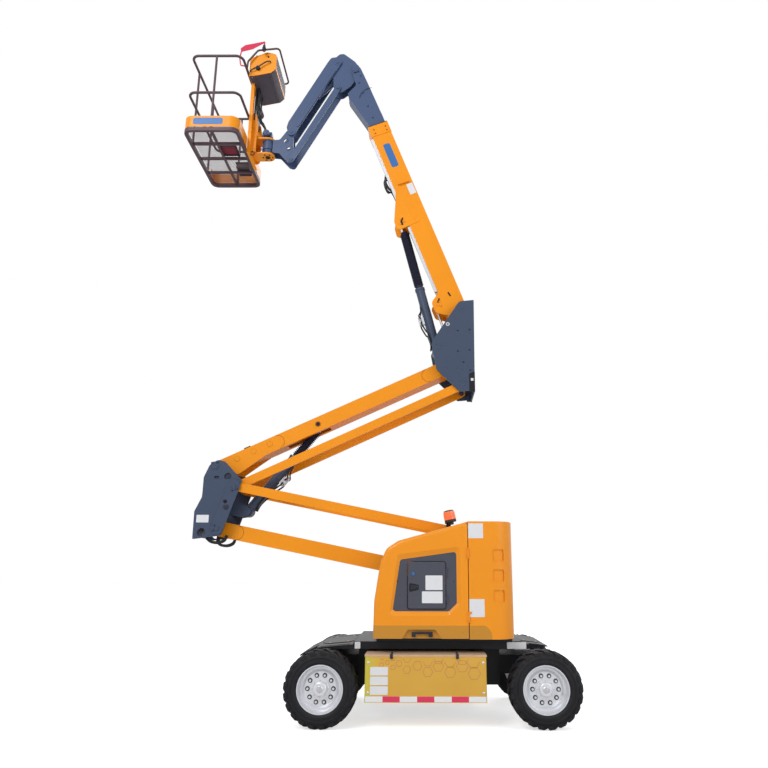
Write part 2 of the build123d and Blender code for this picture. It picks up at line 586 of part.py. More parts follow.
def tail_cover():
    """Rear body: hollow, open below, with the arm slot cut to its sill and vents in its corners."""
    body = tail_form(0, BASE_TOP, TAIL_TOP)
    body = fillet(body.faces().sort_by(Axis.Z)[-1].edges().sort_by(Axis.X)[1:], 14)
    vents = Part()
    for z0, z1 in VENTS:
        vents += block(VENT_X[0], VENT_X[1], SIDE_OUT / 2, SIDE_OUT + 1, z0, z1)
    vents = fillet(vents.edges().filter_by(Axis.Y), 14)
    body -= both(vents) - tail_form(VENT_DEPTH, BASE_TOP - 1, TAIL_TOP + 1)
    void = tail_form(TAIL_SKIN, BASE_TOP - 1, TAIL_TOP - TAIL_SKIN)
    cheeks = block(SEAM_X - 1, TAIL_REAR, -SIDE_IN - SKIN, SIDE_IN + SKIN, BASE_TOP - 1, TAIL_TOP)
    seam_wall = block(SEAM_X - 1, SEAM_X + SKIN, -SIDE_OUT, SIDE_OUT, BASE_TOP - 1, TAIL_TOP)
    body -= void - cheeks - seam_wall
    body -= block(SEAM_X - 1, TAIL_REAR - TAIL_SKIN, -SIDE_IN, SIDE_IN, BASE_TOP - 1, TAIL_TOP + 1)
    body -= block(SEAM_X - 1, TAIL_REAR + 1, -SIDE_IN, SIDE_IN, SLOT_SILL, TAIL_TOP + 1)
    return body + both(hinge_pins(SEAM_X - SEAM_GAP / 2, HINGE_Y, 30, HINGE_AT, HINGE_L, HINGE_R, 5))


def beacon():
    """Warning lamp: dark base, ribbed lens and cap turned in one, leaning with the hood's top."""
    profile = [(0, 0), (46, 0), (46, 26), (42, 34), (40, 58), (42, 64), (39, 90), (41, 96), (37, 118),
               (30, 136), (0, 136)]
    face = Face(Wire.make_polygon([Vector(r, 0, z) for r, z in profile], close=True))
    lamp = revolve(face, Axis.Z, 360)
    foot = Pos(0, 0, 8) * Cylinder(20, 16)
    return Pos(*BEACON) * (Rot(0, BEACON_LEAN, 0) * Pos(0, 0, 7) * lamp + foot)


parts["turntable_base"] = turntable_base()
parts["tail_cover"] = tail_cover()
parts["counterweight"] = both(block(SEAM_X + 40, TAIL_REAR - 60, SIDE_IN + 30, BASE_HALF - 20,
                                    BASE_TOP, BASE_TOP + WEIGHT_H))
parts["power_pack"] = both(block(HOOD_FRONT + 180, SEAM_X - 160, SIDE_IN + 40, BASE_HALF - 60,
                                 BASE_TOP, BASE_TOP + PACK_H))
for side, name in ((-1, "near"), (1, "far")):
    parts[name + "_hood"] = hood(side)
    parts[name + "_panel"] = side_panel(side)
parts["control_door"] = control_door()
parts["beacon"] = beacon()


# ---- riser ------------------------------------------------------------------------------------
def end_shoe(origin, angle, s, reach, h, y):
    """Rounded shoes a little proud of a beam's two sides, reaching from its pin towards its middle."""
    tip = s + reach
    outline = [along(origin, angle, *at) for at in ((s, -h), (tip, -h), (tip, h), (s, h))]
    nose = along(origin, angle, tip, 0)
    return both(plate(outline, y - 1, y + SHOE) + pin(nose, h, y - 1, y + SHOE))


def lower_arm():
    """Hollow arm with closed round ends and a shoe at the knuckle."""
    angle, h = 180 - LOWER_ANGLE, ARM_H / 2
    arm = box_beam(LOWER_PIN, angle, 0, ARM_LENGTH, -h, h, ARM_HALF, ARM_WALL)
    arm += end_shoe(LOWER_PIN, angle, ARM_LENGTH, -SHOE_REACH, h, ARM_HALF)
    arm += end_shoe(LOWER_PIN, angle, 0, SHOE_REACH, h, ARM_HALF)
    for at in (LOWER_PIN, KNUCKLE_PIN):
        arm += pin(at, h, -ARM_HALF, ARM_HALF)
    for at in (LOWER_PIN, KNUCKLE_PIN):
        arm -= pin(at, PIN_R + PIN_FIT, -ARM_HALF - SHOE, ARM_HALF + SHOE)
    return arm


def upper_arm():
    """Hollow arm with the deep gusset and plugs over the knuckle and a slot for the riser cylinder."""
    a, h = UPPER_ANGLE, ARM_H / 2
    arm = box_beam(UPPER_PIN, a, 0, ARM_LENGTH, -h, h, ARM_HALF, ARM_WALL)
    gusset = [along(UPPER_PIN, a, *at) for at in
              ((30, -20), (172, -159), (440, -104), (560, 1 - h), (560, 0))]
    arm += both(plate(gusset, ARM_HALF - 14, ARM_HALF, [0, 20, 60, 0, 0]))
    for plug in PLUGS:
        arm += both(pin(along(UPPER_PIN, a, *plug), PLUG_R, ARM_HALF - 1, ARM_HALF + SHOE))
    arm += end_shoe(UPPER_PIN, a, ARM_LENGTH, -SHOE_REACH, h, ARM_HALF)
    slot = [along(UPPER_PIN, a, *at) for at in
            ((800, -h - 1), (1330, -h - 1), (1330, 20 - h), (800, 20 - h))]
    arm -= plate(slot, -75, 75)
    for at in (UPPER_PIN, TURRET_PIN):
        arm += pin(at, h, -ARM_HALF, ARM_HALF)
    for at in (UPPER_PIN, TURRET_PIN):
        arm -= pin(at, PIN_R + PIN_FIT, -ARM_HALF - SHOE, ARM_HALF + SHOE)
    return arm


def boom_rest():
    """Rubber-faced rest on top of the upper arm, under the lowered boom."""
    s0, s1, height = STOP
    h = ARM_H / 2 + SEAT
    outline = [along(UPPER_PIN, UPPER_ANGLE, s, n) for s, n in
               ((s0, h), (s1, h), (s1 - 8, h + height), (s0 + 8, h + height))]
    return plate(outline, -50, 50, 6)


def link(p, q, h, layer, r):
    link_bar = bar(p, q, h, *layer)
    for at in (p, q):
        link_bar -= pin(at, r + PIN_FIT, layer[0] - 1, layer[1] + 1)
    return both(link_bar)


def knuckle():
    """Rounded plates with doublers and straps, cross boxes, hinge pins and the riser cylinder's ears."""
    k = KNUCKLE_PIN
    upper = [(-190, 300), (-189, 560), (-130, 705), (-40, 757), (40, 735), (245, 520), (190, 430),
             (150, 300)]
    lower = [(-259, -115), (51, -76), (206, 467), (169, 541), (-182, 533), (-190, 340), (-261, 185)]
    y0, y1 = TOWER_IN, TOWER_IN + KNUCKLE_T
    y2 = y1 + KNUCKLE_DOUBLER
    side = plate([add(k, p) for p in upper], y0, y1, [0, 60, 90, 60, 60, 30, 0, 0])
    side += plate([add(k, p) for p in lower], y0, y2, [10, 40, 40, 30, 8, 60, 30])
    strap = bar(k, SHARED_PIN, 140, y2, y2 + KNUCKLE_STRAP)
    side += strap + pin(k, PIN_R - 8, y2 + KNUCKLE_STRAP, y2 + KNUCKLE_STRAP + 3)
    side += pin(SHARED_PIN, PIN_R - 8, y2 + KNUCKLE_STRAP, y2 + KNUCKLE_STRAP + 3)
    side += pin(UPPER_PIN, PIN_R + 12, y1, y1 + 6)
    side -= pin(add(k, (-170, -41)), 45, y0 - 1, y2 + 1) + pin(add(k, (79, 569)), 40, y0 - 1, y1 + 1)
    side -= pin(add(k, (73, 292)), 22, y0 - 1, y2 + KNUCKLE_STRAP + 1)
    slot = [(-72, 546), (-18, 546), (-18, 574), (-72, 574)]
    side -= plate([add(k, p) for p in slot], y0 - 1, y1 + 1, 10)
    back = [(-250, -90), (-236, -90), (-236, 180), (-170, 330), (-184, 335), (-250, 183)]
    box = [(10, 170), (60, 170), (60, 330), (10, 330)]
    ears = [(50, 170), (190, 138), (285, 152), (318, 206), (264, 262), (110, 330), (50, 330)]
    body = both(side)
    for outline in (back, box):
        body += plate([add(k, p) for p in outline], -y0, y0)
    body += both(plate([add(k, p) for p in ears], 64, 84, [0, 20, 20, 40, 20, 20, 0]))
    for at in (k, UPPER_PIN, SHARED_PIN):
        body += pin(at, PIN_R, -y0, y0)
    return body + pin(RISER_BASE_PIN, 24, -84, 84)


def cylinder_line(p, q, setting):
    """Angle and length from base to eye, turned and lengthened by the setting."""
    turn, stretch = setting
    return degrees(atan2(q[1] - p[1], q[0] - p[0])) + turn, hypot(q[0] - p[0], q[1] - p[1]) + stretch


def cylinder_barrel(p, q, setting, r, rod_r, length, pin_r, half):
    """Barrel turned in one piece with its base and collared gland, on a cross eye at p."""
    angle, _ = cylinder_line(p, q, setting)
    base, bore, gland = r * 1.5, r - 9, 45
    inner = rod_r + PIN_FIT
    profile = [(0, 0), (0, r), (length - 30, r), (length - 30, r + 5), (length, r + 5), (length, inner),
               (length - gland, inner), (length - gland, bore), (base, bore), (base, 0)]
    corners = [along(p, angle, *at) for at in profile]
    face = Face(Wire.make_polygon([Vector(x, 0, z) for x, z in corners], close=True))
    axis = Axis(Vector(p[0], 0, p[1]), Vector(cos(radians(angle)), 0, sin(radians(angle))))
    barrel = revolve(face, axis, 360) + pin(p, r * 1.12, -half, half)
    return barrel - pin(p, pin_r + PIN_FIT, -half - 4, half + 4)


def valve_block(p, q, setting, r, s, side):
    """Load-holding valve bolted to a barrel's side, with its two port bosses."""
    angle, _ = cylinder_line(p, q, setting)
    n0, n1 = sorted((side * (r - 3), side * (r + VALVE[1])))
    outline = [along(p, angle, *at) for at in ((s, n0), (s + VALVE[0], n0), (s + VALVE[0], n1), (s, n1))]
    body = plate(outline, -VALVE[2], VALVE[2], 5)
    for end in (-14, VALVE[0]):
        a = along(p, angle, s + end, side * (r + VALVE[1] / 2))
        b = along(p, angle, s + end + 14, side * (r + VALVE[1] / 2))
        body += rod(a, b, 13)
    cut = rod(along(p, angle, s - 60, 0), along(p, angle, s + VALVE[0] + 60, 0), r + SEAT)
    return body - cut


def cylinder_rod(p, q, setting, r, start, eye_r, half):
    """Rod from inside its barrel to its own eye, drawn where the setting puts it."""
    angle, length = cylinder_line(p, q, setting)
    eye = along(p, angle, length, 0)
    return rod(along(p, angle, start, 0), eye, r) + pin(eye, eye_r, -half, half)


parts["lower_arm"] = lower_arm()
parts["lower_link"] = link(LOWER_LINK_PIN, SHARED_PIN, LINK_LOW_H, LINK_LOW, PIN_R)
parts["knuckle"] = knuckle()
parts["upper_arm"] = upper_arm()
parts["upper_link"] = link(LINK_HIGH_FOOT, TURRET_LINK_PIN, LINK_HIGH_H, LINK_HIGH, PIN_R)
parts["riser_barrel"] = cylinder_barrel(RISER_BASE_PIN, RISER_ROD_PIN, RISER_SET, 58, 32, 800, 24, 56)
parts["riser_valve"] = valve_block(RISER_BASE_PIN, RISER_ROD_PIN, RISER_SET, 58, 462, -1)
parts["boom_rest"] = boom_rest()
parts["riser_rod"] = cylinder_rod(RISER_BASE_PIN, RISER_ROD_PIN, RISER_SET, 32, 340, 40, 56)


def turret():
    """Two tall plates and a wrapped back plate, with the pins of arm, boom, cylinders and links."""
    t = TURRET_PIN
    y0, y1 = TURRET_IN, TURRET_IN + TURRET_T
    outline = [(189, 805), (363, 822), (356, -324), (297, -300), (178, -310), (-85, -47), (-143, 271),
               (-123, 321)]
    side = plate([add(t, p) for p in outline], y0, y1, [60, 0, 0, 0, 30, 60, 40, 30])
    side += pin(TURRET_LINK_PIN, PIN_R, LINK_HIGH[0], y0)
    back = [(349, 812), (364, 814), (357, -316), (342, -314)]
    shelf = [(349, 470), (230, 470), (230, 482), (349, 482)]
    body = both(side) + plate([add(t, p) for p in back], -y1, y1)
    body += plate([add(t, p) for p in shelf], -y0, y0)
    for at, r in ((t, PIN_R), (PIVOT, PIN_R + 8), (LIFT_BASE_PIN, 28), (LEVEL_BASE_PIN, 20)):
        body += pin(at, r, -y0, y0)
    return body


parts["turret"] = turret()


# ---- boom -------------------------------------------------------------------------------------
def boom_outer():
    """Outer section: pivot lobes, lift ears, stiffening pads, a collared mouth and inner wear pads."""
    a, n0, n1 = BOOM_ANGLE, -BOOM_BACK, BOOM_H - BOOM_BACK
    beam = box_beam(PIVOT, a, -70, BOOM_LENGTH, n0, n1, BOOM_HALF, BOOM_WALL)
    lobe = [(-70, -40), (-75, 70), (70, 290), (215, 290), (300, n1 - 1), (300, -20)]
    ears = [(1290, 20), (1268, 300), (1300, 340), (1400, 330), (1670, 211), (1790, n1 - 1), (1790, 20)]
    for outline, rounds in ((lobe, [20, 50, 60, 60, 0, 60]), (ears, [20, 30, 30, 30, 60, 0, 20])):
        points = [along(PIVOT, a, s, n) for s, n in outline]
        beam += both(plate(points, BOOM_HALF - BOOM_WALL, BOOM_HALF + EAR_PROUD, rounds))
    pad = [along(PIVOT, a, s, n) for s, n in ((1345, 52), (1605, 52), (1605, 92), (1345, 92))]
    shelf = [along(PIVOT, a, s, n) for s, n in ((1858, -45), (1872, -45), (1872, 105), (1858, 105))]
    beam += both(plate(pad, BOOM_HALF, BOOM_HALF + EAR_PROUD + 4, 10))
    beam += both(plate(shelf, BOOM_HALF - 1, BOOM_HALF + 26))
    c = COLLAR_T
    beam += box_beam(PIVOT, a, COLLAR_START, BOOM_LENGTH, n0 - c, n1 + c, BOOM_HALF + c, c + 1)
    beam += pin(PIVOT, PIN_R + 30, -BOOM_HALF, BOOM_HALF)
    beam += wear_pads(BOOM_LENGTH - PAD_LENGTH, BOOM_WALL, BOOM_WALL + WEAR_PAD - SEAT)
    return beam - pin(PIVOT, PIN_R + 8 + PIN_FIT, -BOOM_HALF - 20, BOOM_HALF + 20)


def hose_track():
    """Folded cover strip over the hoses along the boom's front face."""
    s0, s1, y0, y1, depth = TRACK
    n = BOOM_H - BOOM_BACK + SEAT
    outer = [along(PIVOT, BOOM_ANGLE, *at) for at in ((s0, n), (s1, n), (s1, n + depth), (s0, n + depth))]
    inner = [along(PIVOT, BOOM_ANGLE, *at) for at in
             ((s0 - 1, n + 3), (s1 + 1, n + 3), (s1 + 1, n + depth - 3), (s0 - 1, n + depth - 3))]
    return plate(outer, y0, y1) - plate(inner, y0 + 3, y1 - 3)


def wear_pads(s, depth0, depth1):
    """Four low blocks round the inside of the outer section, from one depth below its skin to another."""
    a, n0, n1 = BOOM_ANGLE, -BOOM_BACK, BOOM_H - BOOM_BACK
    middle, pads = (n0 + n1) / 2, Part()
    for m0, m1 in ((n0 + depth0, n0 + depth1), (n1 - depth1, n1 - depth0)):
        pads += plate([along(PIVOT, a, *at) for at in
                       ((s, m0), (s + PAD_LENGTH, m0), (s + PAD_LENGTH, m1), (s, m1))], -60, 60)
    cheek = [along(PIVOT, a, *at) for at in ((s, middle - 60), (s + PAD_LENGTH, middle - 60),
                                             (s + PAD_LENGTH, middle + 60), (s, middle + 60))]
    return pads + both(plate(cheek, BOOM_HALF - depth1, BOOM_HALF - depth0))


def boom_inner():
    """Inner section and the tapering nose, two ears and a front web, that carries the head."""
    a = BOOM_ANGLE
    n0, n1 = -BOOM_BACK + BOOM_WALL + WEAR_PAD, BOOM_H - BOOM_BACK - BOOM_WALL - WEAR_PAD
    half = BOOM_HALF - BOOM_WALL - WEAR_PAD
    beam = box_beam(PIVOT, a, INNER_START, INNER_END, n0, n1, half, 8)
    ear = [(2850, n0), (2850, n1), (3340, 252), (3400, 244), (3480, 95), (3700, 80), (3790, 30),
           (3790, -30), (3700, -52), (3460, -60)]
    points = [along(PIVOT, a, *at) for at in ear]
    beam += both(plate(points, half - 14, half, [0, 0, 30, 30, 40, 30, 30, 30, 30, 30]))
    web = [along(PIVOT, a, *at) for at in ((2850, n1 - 8), (2850, n1), (3340, 252), (3344, 244))]
    beam += plate(web, -half, half)
    beam += pin(HEAD_HINGE, 26, -half, half) + both(pin(HEAD_HINGE, 40, half, half + 8))
    return beam + wear_pads(INNER_START, BOOM_WALL + SEAT, BOOM_WALL + WEAR_PAD)


parts["boom_outer"] = boom_outer()
parts["boom_inner"] = boom_inner()
parts["hose_track"] = hose_track()
parts["lift_barrel"] = cylinder_barrel(LIFT_BASE_PIN, LIFT_ROD_PIN, LIFT_SET, 57, 34, 870, 28, 58)
parts["lift_valve"] = valve_block(LIFT_BASE_PIN, LIFT_ROD_PIN, LIFT_SET, 57, 396, 1)
parts["lift_rod"] = cylinder_rod(LIFT_BASE_PIN, LIFT_ROD_PIN, LIFT_SET, 34, 760, 42, 58)
parts["level_barrel"] = cylinder_barrel(LEVEL_BASE_PIN, LEVEL_ROD_PIN, LEVEL_SET, 32, 16, 545, 20, 36)
parts["level_rod"] = cylinder_rod(LEVEL_BASE_PIN, LEVEL_ROD_PIN, LEVEL_SET, 16, 385, 18, 30)


# ---- head, jib and foot -----------------------------------------------------------------------
def head():
    """Two rounded cheeks between the nose's ears, a bridge over them and the jib's pins."""
    h = HEAD_HINGE
    outline = [(50, 60), (-5, 145), (-157, 272), (-215, 268), (-296, 190), (-304, 80), (-282, -300),
               (-180, -342), (-50, -235), (50, -60)]
    bridge = [(-160, 258), (-20, 142), (-14, 150), (-154, 268)]
    cheek = plate([add(h, p) for p in outline], 56, 70, [50, 40, 40, 40, 30, 40, 60, 60, 60, 50])
    body = both(cheek) + plate([add(h, p) for p in bridge], -56, 56) + pin(h, 46, -70, 70)
    body -= pin(h, 26 + PIN_FIT, -71, 71)
    for at in (JIB_PIN, JIB_LINK_PIN):
        body += both(pin(at, JIB_PIN_R, 70, 96))
    return body + pin(JIB_BASE_PIN, 18, -56, 56)


def jib_arm():
    """Two deep cheeks under a folded top, stiffened by a rail along each side."""
    side = [(-62, -55), (-20, -112), (60, -118), (1110, -113), (1195, -90), (1262, -25), (1262, 35),
            (1225, 52), (-50, 52)]
    rail = [(130, 8), (1120, 8), (1120, 44), (130, 44)]
    top = [(150, -117), (1100, -113), (1100, -103), (150, -107)]
    side, rail, top = [[along(JIB_PIN, JIB_ANGLE, *at) for at in line] for line in (side, rail, top)]
    y0, y1 = JIB_CHEEK
    cheek = plate(side, y0, y1, [30, 30, 60, 60, 40, 30, 30, 20, 40]) + plate(rail, y1 - 1, y1 + 8, 10)
    for at in (JIB_PIN, FOOT_PIN):
        cheek += pin(at, JIB_PIN_R + 26, y0, y1 + 4)
    for at in (JIB_PIN, FOOT_PIN):
        cheek -= pin(at, JIB_PIN_R + PIN_FIT, y0 - 1, y1 + 5)
    return both(cheek) + plate(top, -y0 - 1, y0 + 1)


def foot():
    """Cheeks on the jib's lower pins, webbed to the body of the rotator that turns the platform."""
    f = FOOT_PIN
    outline = [(26, 36), (40, -425), (-20, -448), (-150, -300), (-238, -290), (-238, -106),
               (-150, -100), (-60, 36)]
    web = [(-240, -290), (-225, -290), (-225, -106), (-240, -106)]
    cheek = plate([add(f, p) for p in outline], 56, 70, [26, 24, 24, 40, 0, 0, 40, 40])
    cheek -= pin(add(f, (-62, -120)), 34, 50, 80) + pin(add(f, (-25, -235)), 26, 50, 80)
    body = both(cheek)
    for at in (FOOT_PIN, FOOT_LINK_PIN):
        body += both(pin(at, JIB_PIN_R, 56, 96))
    body += plate([add(f, p) for p in web], -56, 56)
    barrel = Cylinder(ROTATOR_R, ROTATOR_H) + Cylinder(ROTATOR_R + 10, ROTATOR_H - 130)
    for end in (-1, 1):
        barrel += Pos(0, 0, end * (ROTATOR_H / 2 - 9)) * Cylinder(ROTATOR_R + 6, 18)
    return body + Pos(ROTATOR[0], 0, ROTATOR[1]) * barrel


parts["head"] = head()
parts["jib_arm"] = jib_arm()
parts["jib_link"] = link(JIB_LINK_PIN, FOOT_LINK_PIN, 80, JIB_CHEEK, JIB_PIN_R)
parts["jib_barrel"] = cylinder_barrel(JIB_BASE_PIN, JIB_ROD_PIN, JIB_SET, 34, 16, 400, 18, 36)
parts["jib_rod"] = cylinder_rod(JIB_BASE_PIN, JIB_ROD_PIN, JIB_SET, 16, 75, 22, 36)
parts["jib_foot"] = foot()


# ---- platform ---------------------------------------------------------------------------------
def floor_outline(grow=0):
    return Pos(PLATFORM_EDGE - PLATFORM_W / 2, 0, 0) * RectangleRounded(
        PLATFORM_W + 2 * grow, PLATFORM_L + 2 * grow, CORNER + grow)


def platform_floor():
    frame = extrude(Pos(0, 0, FLOOR_BOTTOM) * floor_outline(), amount=FLOOR_H)
    frame -= extrude(Pos(0, 0, FLOOR_BOTTOM - 1) * floor_outline(-40), amount=FLOOR_H - 5)
    for y in (-PLATFORM_L / 4, 0, PLATFORM_L / 4):
        frame += block(PLATFORM_EDGE - PLATFORM_W + 30, PLATFORM_EDGE - 30, y - 15, y + 15,
                       FLOOR_BOTTOM + 20, FLOOR_BOTTOM + FLOOR_H)
    return frame


def toe_board():
    """Toe boards wrapped round both ends; the entry side between them stays open."""
    z = FLOOR_BOTTOM + FLOOR_H
    ring = extrude(Pos(0, 0, z) * floor_outline(), amount=TOE_H)
    ring -= extrude(Pos(0, 0, z - 1) * floor_outline(-TOE_T), amount=TOE_H + 2)
    middle = PLATFORM_EDGE - PLATFORM_W / 2
    entry, bracket = PLATFORM_L / 2 - TOE_WRAP, POST_Y + POST_W / 2 + 10
    ring -= block(middle - PLATFORM_W, middle, -entry, entry, z - 1, z + TOE_H + 1)
    return ring - block(middle, middle + PLATFORM_W, -bracket, bracket, z - 1, z + TOE_H + 1)


def rail_ring(height):
    wire = (Pos(0, 0, FLOOR_BOTTOM + height) * floor_outline(-RAIL_INSET)).face().outer_wire()
    start = wire.position_at(0)
    return sweep(Plane(origin=start, z_dir=wire.tangent_at(0)) * Circle(RAIL_R), path=wire)


def platform_rails():
    """Top and middle rail rings on four posts, and the guard tube round the console."""
    rails = rail_ring(RAIL_H) + rail_ring(MID_RAIL_H)
    z0, z1 = FLOOR_BOTTOM + FLOOR_H, FLOOR_BOTTOM + RAIL_H
    x0, x1 = PLATFORM_EDGE - PLATFORM_W + RAIL_INSET, PLATFORM_EDGE - RAIL_INSET
    y0 = PLATFORM_L / 2 - RAIL_INSET
    for x, y in (((x0 + x1) / 2, -y0), ((x0 + x1) / 2, y0), (x0, -y0 / 2), (x0, y0 / 2)):
        rails += Pos(x, y, (z0 + z1) / 2) * Cylinder(RAIL_R - 2, z1 - z0)
    near, far = CONSOLE[0] - GUARD_GAP, CONSOLE[1] + GUARD_GAP
    low, high = z1 + 120, z1 + GUARD_RISE
    out = PLATFORM_EDGE + CONSOLE_REACH + GUARD_GAP
    side = [(x1, z1), (x1 + 8, low), (x1 + 130, high), (out, high + 30)]
    guard = [(x, near, z) for x, z in side] + [(x, far, z) for x, z in reversed(side)]
    return rails + tube(guard, GUARD_R, 45)


def platform_bracket():
    """Clevis round the rotator, on a folded upright with two channel posts up to the console."""
    x, z = ROTATOR
    e, f, top = PLATFORM_EDGE, FLOOR_BOTTOM, z + ROTATOR_H / 2
    half, t, gap = JAW
    body = block(e, e + 40, -POST_Y, POST_Y, f, top + 60)
    for z0 in (top + gap, z - ROTATOR_H / 2 - gap - t):
        body += block(e, x, -half, half, z0, z0 + t) + Pos(x, 0, z0 + t / 2) * Cylinder(half, t)
    rib = [(e + 39, top + 60), (e + 39, top + t), (x - 60, top + t)]
    body += both(plate(rib, half - 25, half - 15))
    y0, y1 = POST_Y - POST_W / 2, POST_Y + POST_W / 2
    post = block(e, e + POST_D, y0, y1, f, f + POST_H)
    post -= block(e + 5, e + POST_D + 1, y0 + 5, y1 - 5, top + 90, f + POST_H + 1)
    return body + both(post)


def console():
    """Control box open below, deeper towards the operator, with rounded corners."""
    y0, y1 = CONSOLE
    e, z = PLATFORM_EDGE + 2, FLOOR_BOTTOM + POST_H + SEAT
    reach = CONSOLE_REACH - 2
    outline = [(0, 0), (60, 0), (reach - 62, 48), (reach, 112), (reach, 330), (reach - 130, 362),
               (0, 268)]
    shell = plate([(e + x, z + h) for x, h in outline], y0, y1, [0, 20, 40, 40, 50, 40, 60])
    w = CONSOLE_WALL
    inside = [(w, -9), (70, -9), (reach - 64, 40), (reach - w, 112), (reach - w, 325),
              (reach - 132, 362 - w), (w, 262)]
    shell -= plate([(e + x, z + h) for x, h in inside], y0 + w, y1 - w, [0, 0, 0, 30, 44, 34, 54])
    return shell


def guard_flag():
    """Red guard plate over the near top rail, on a bent tube and a post clamped beside the guard tube."""
    y = CONSOLE[0] - GUARD_GAP - GUARD_R - SEAT - FLAG_POST_R
    e, z = PLATFORM_EDGE, FLOOR_BOTTOM + RAIL_H
    outline = [(-120, 295), (-100, 250), (40, 290), (196, 392), (196, 408), (-60, 350)]
    flag = plate([(e + x, z + h) for x, h in outline], y - 3, y + 3, [16, 10, 0, 6, 6, 16])
    hoop = [(e + x, y, z + h) for x, h in ((-100, 275), (-120, 160), (-100, 40), (-16, 24))]
    return flag + tube(hoop, 8, 24) + rod((e + 190, z + 260), (e + 190, z + 396), FLAG_POST_R, y)


parts["platform_floor"] = platform_floor()
parts["toe_board"] = toe_board()
parts["platform_rails"] = platform_rails()
parts["platform_bracket"] = platform_bracket()
parts["guard_flag"] = guard_flag()
parts["console"] = console()

# ---- export -----------------------------------------------------------------------------------
os.makedirs("parts", exist_ok=True)
for name, shape in parts.items():
    export_step(shape.moved(Location((FRAME_SHIFT, 0, 0))), f"parts/{name}.step")
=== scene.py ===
"""Looks of an articulating boom lift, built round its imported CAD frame.

Metres; X runs towards the counterweight end, Y to the far side and Z up. The yard, the helpers and
the paints come first; each section after them is one group of pieces, from the ground up.
"""
import json
import math
import bmesh
import bpy
import numpy as np
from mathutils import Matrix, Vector


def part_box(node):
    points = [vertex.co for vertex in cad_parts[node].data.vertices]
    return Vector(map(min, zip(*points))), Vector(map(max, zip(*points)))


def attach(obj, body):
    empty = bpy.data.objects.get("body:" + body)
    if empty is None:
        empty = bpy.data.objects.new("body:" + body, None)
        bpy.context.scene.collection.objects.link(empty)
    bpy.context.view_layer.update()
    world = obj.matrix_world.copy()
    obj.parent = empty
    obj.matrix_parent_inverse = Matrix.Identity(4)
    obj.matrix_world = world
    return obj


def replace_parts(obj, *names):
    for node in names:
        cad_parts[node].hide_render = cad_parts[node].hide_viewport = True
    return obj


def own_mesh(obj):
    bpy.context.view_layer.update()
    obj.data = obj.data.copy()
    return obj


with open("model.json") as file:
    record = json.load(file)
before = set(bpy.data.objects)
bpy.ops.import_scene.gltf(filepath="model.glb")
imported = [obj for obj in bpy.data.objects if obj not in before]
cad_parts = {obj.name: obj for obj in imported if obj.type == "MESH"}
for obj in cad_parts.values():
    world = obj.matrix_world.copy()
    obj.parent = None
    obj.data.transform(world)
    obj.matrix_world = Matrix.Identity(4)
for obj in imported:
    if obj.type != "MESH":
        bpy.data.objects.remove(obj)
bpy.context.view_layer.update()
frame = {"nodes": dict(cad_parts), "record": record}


# ---- yard: floor, sky, lamps and camera -------------------------------------------------------
# The machine stands on a plain pale floor under three large soft lamps and an even sky. The eye is
# low on the near side, about eight metres off, and looks up at the raised boom.
class Finish:
    """A material under construction: its node tree, and the maths that its sockets share."""

    def __init__(self, name, data=None):
        self.data = data or bpy.data.materials.new(name)
        self.data.use_nodes = True
        self.tree = self.data.node_tree

    def node(self, kind, inputs=(), output=0, **settings):
        """One node: its settings first, then its sockets by number or name, as values or links."""
        made = self.tree.nodes.new("ShaderNode" + kind)
        for key, value in settings.items():
            setattr(made, key, value)
        for key, value in (inputs.items() if isinstance(inputs, dict) else enumerate(inputs)):
            self.plug(made.inputs[key], value)
        return Socket(self, made.outputs[output])

    def plug(self, target, value):
        if isinstance(value, Socket):
            self.tree.links.new(value.link, target)
        elif hasattr(value, "__len__") and len(value) == 3 and len(target.default_value) == 4:
            target.default_value = (*value, 1.0)
        else:
            target.default_value = value

    def shader(self, sockets, kind="BSDF_PRINCIPLED"):
        """Fill the sockets of the shader that the material came with."""
        shader = next(n for n in self.tree.nodes if n.type == kind)
        for key, value in sockets.items():
            self.plug(shader.inputs[key], value)
        return self.data

    def place(self):
        return self.node("TexCoord", output=3)

    def axes(self):
        """The x, y and z of a point on the piece."""
        made = self.node("SeparateXYZ", (self.place(),))
        return [Socket(self, s) for s in made.link.node.outputs]

    def noise(self, scale, detail=3.0, where=None):
        return self.node("TexNoise", {"Vector": where or self.place(), "Scale": scale,
                                      "Detail": detail})

    def mix(self, share, first, second):
        """A colour between two, by share."""
        return self.node("Mix", {0: share, 6: first, 7: second}, 2, data_type="RGBA")

    def bump(self, height, strength, distance=0.001):
        return self.node("Bump", {"Strength": strength, "Distance": distance, "Height": height})


class Socket:
    """A node's output: sums and products of sockets add Math nodes."""

    def __init__(self, finish, link):
        self.finish, self.link = finish, link

    def maths(self, operation, *others):
        return self.finish.node("Math", (self, *others), operation=operation)

    def __add__(self, other): return self.maths("ADD", other)
    def __radd__(self, other): return self.maths("ADD", other)
    def __mul__(self, other): return self.maths("MULTIPLY", other)
    def __rmul__(self, other): return self.maths("MULTIPLY", other)
    def __sub__(self, other): return self.maths("SUBTRACT", other)
    def __lt__(self, other): return self.maths("LESS_THAN", other)
    def __gt__(self, other): return self.maths("GREATER_THAN", other)
    def __mod__(self, other): return self.maths("FLOORED_MODULO", other)
    def clip(self): return self.maths("MINIMUM", 1.0).maths("MAXIMUM", 0.0)


def shown(name, points, faces, finish):
    """A mesh object at the origin, from arrays of points and lists of corners."""
    mesh = bpy.data.meshes.new(name)
    mesh.from_pydata(points, [], faces)
    made = bpy.data.objects.new(name, mesh)
    bpy.context.scene.collection.objects.link(made)
    mesh.materials.append(finish)
    return made


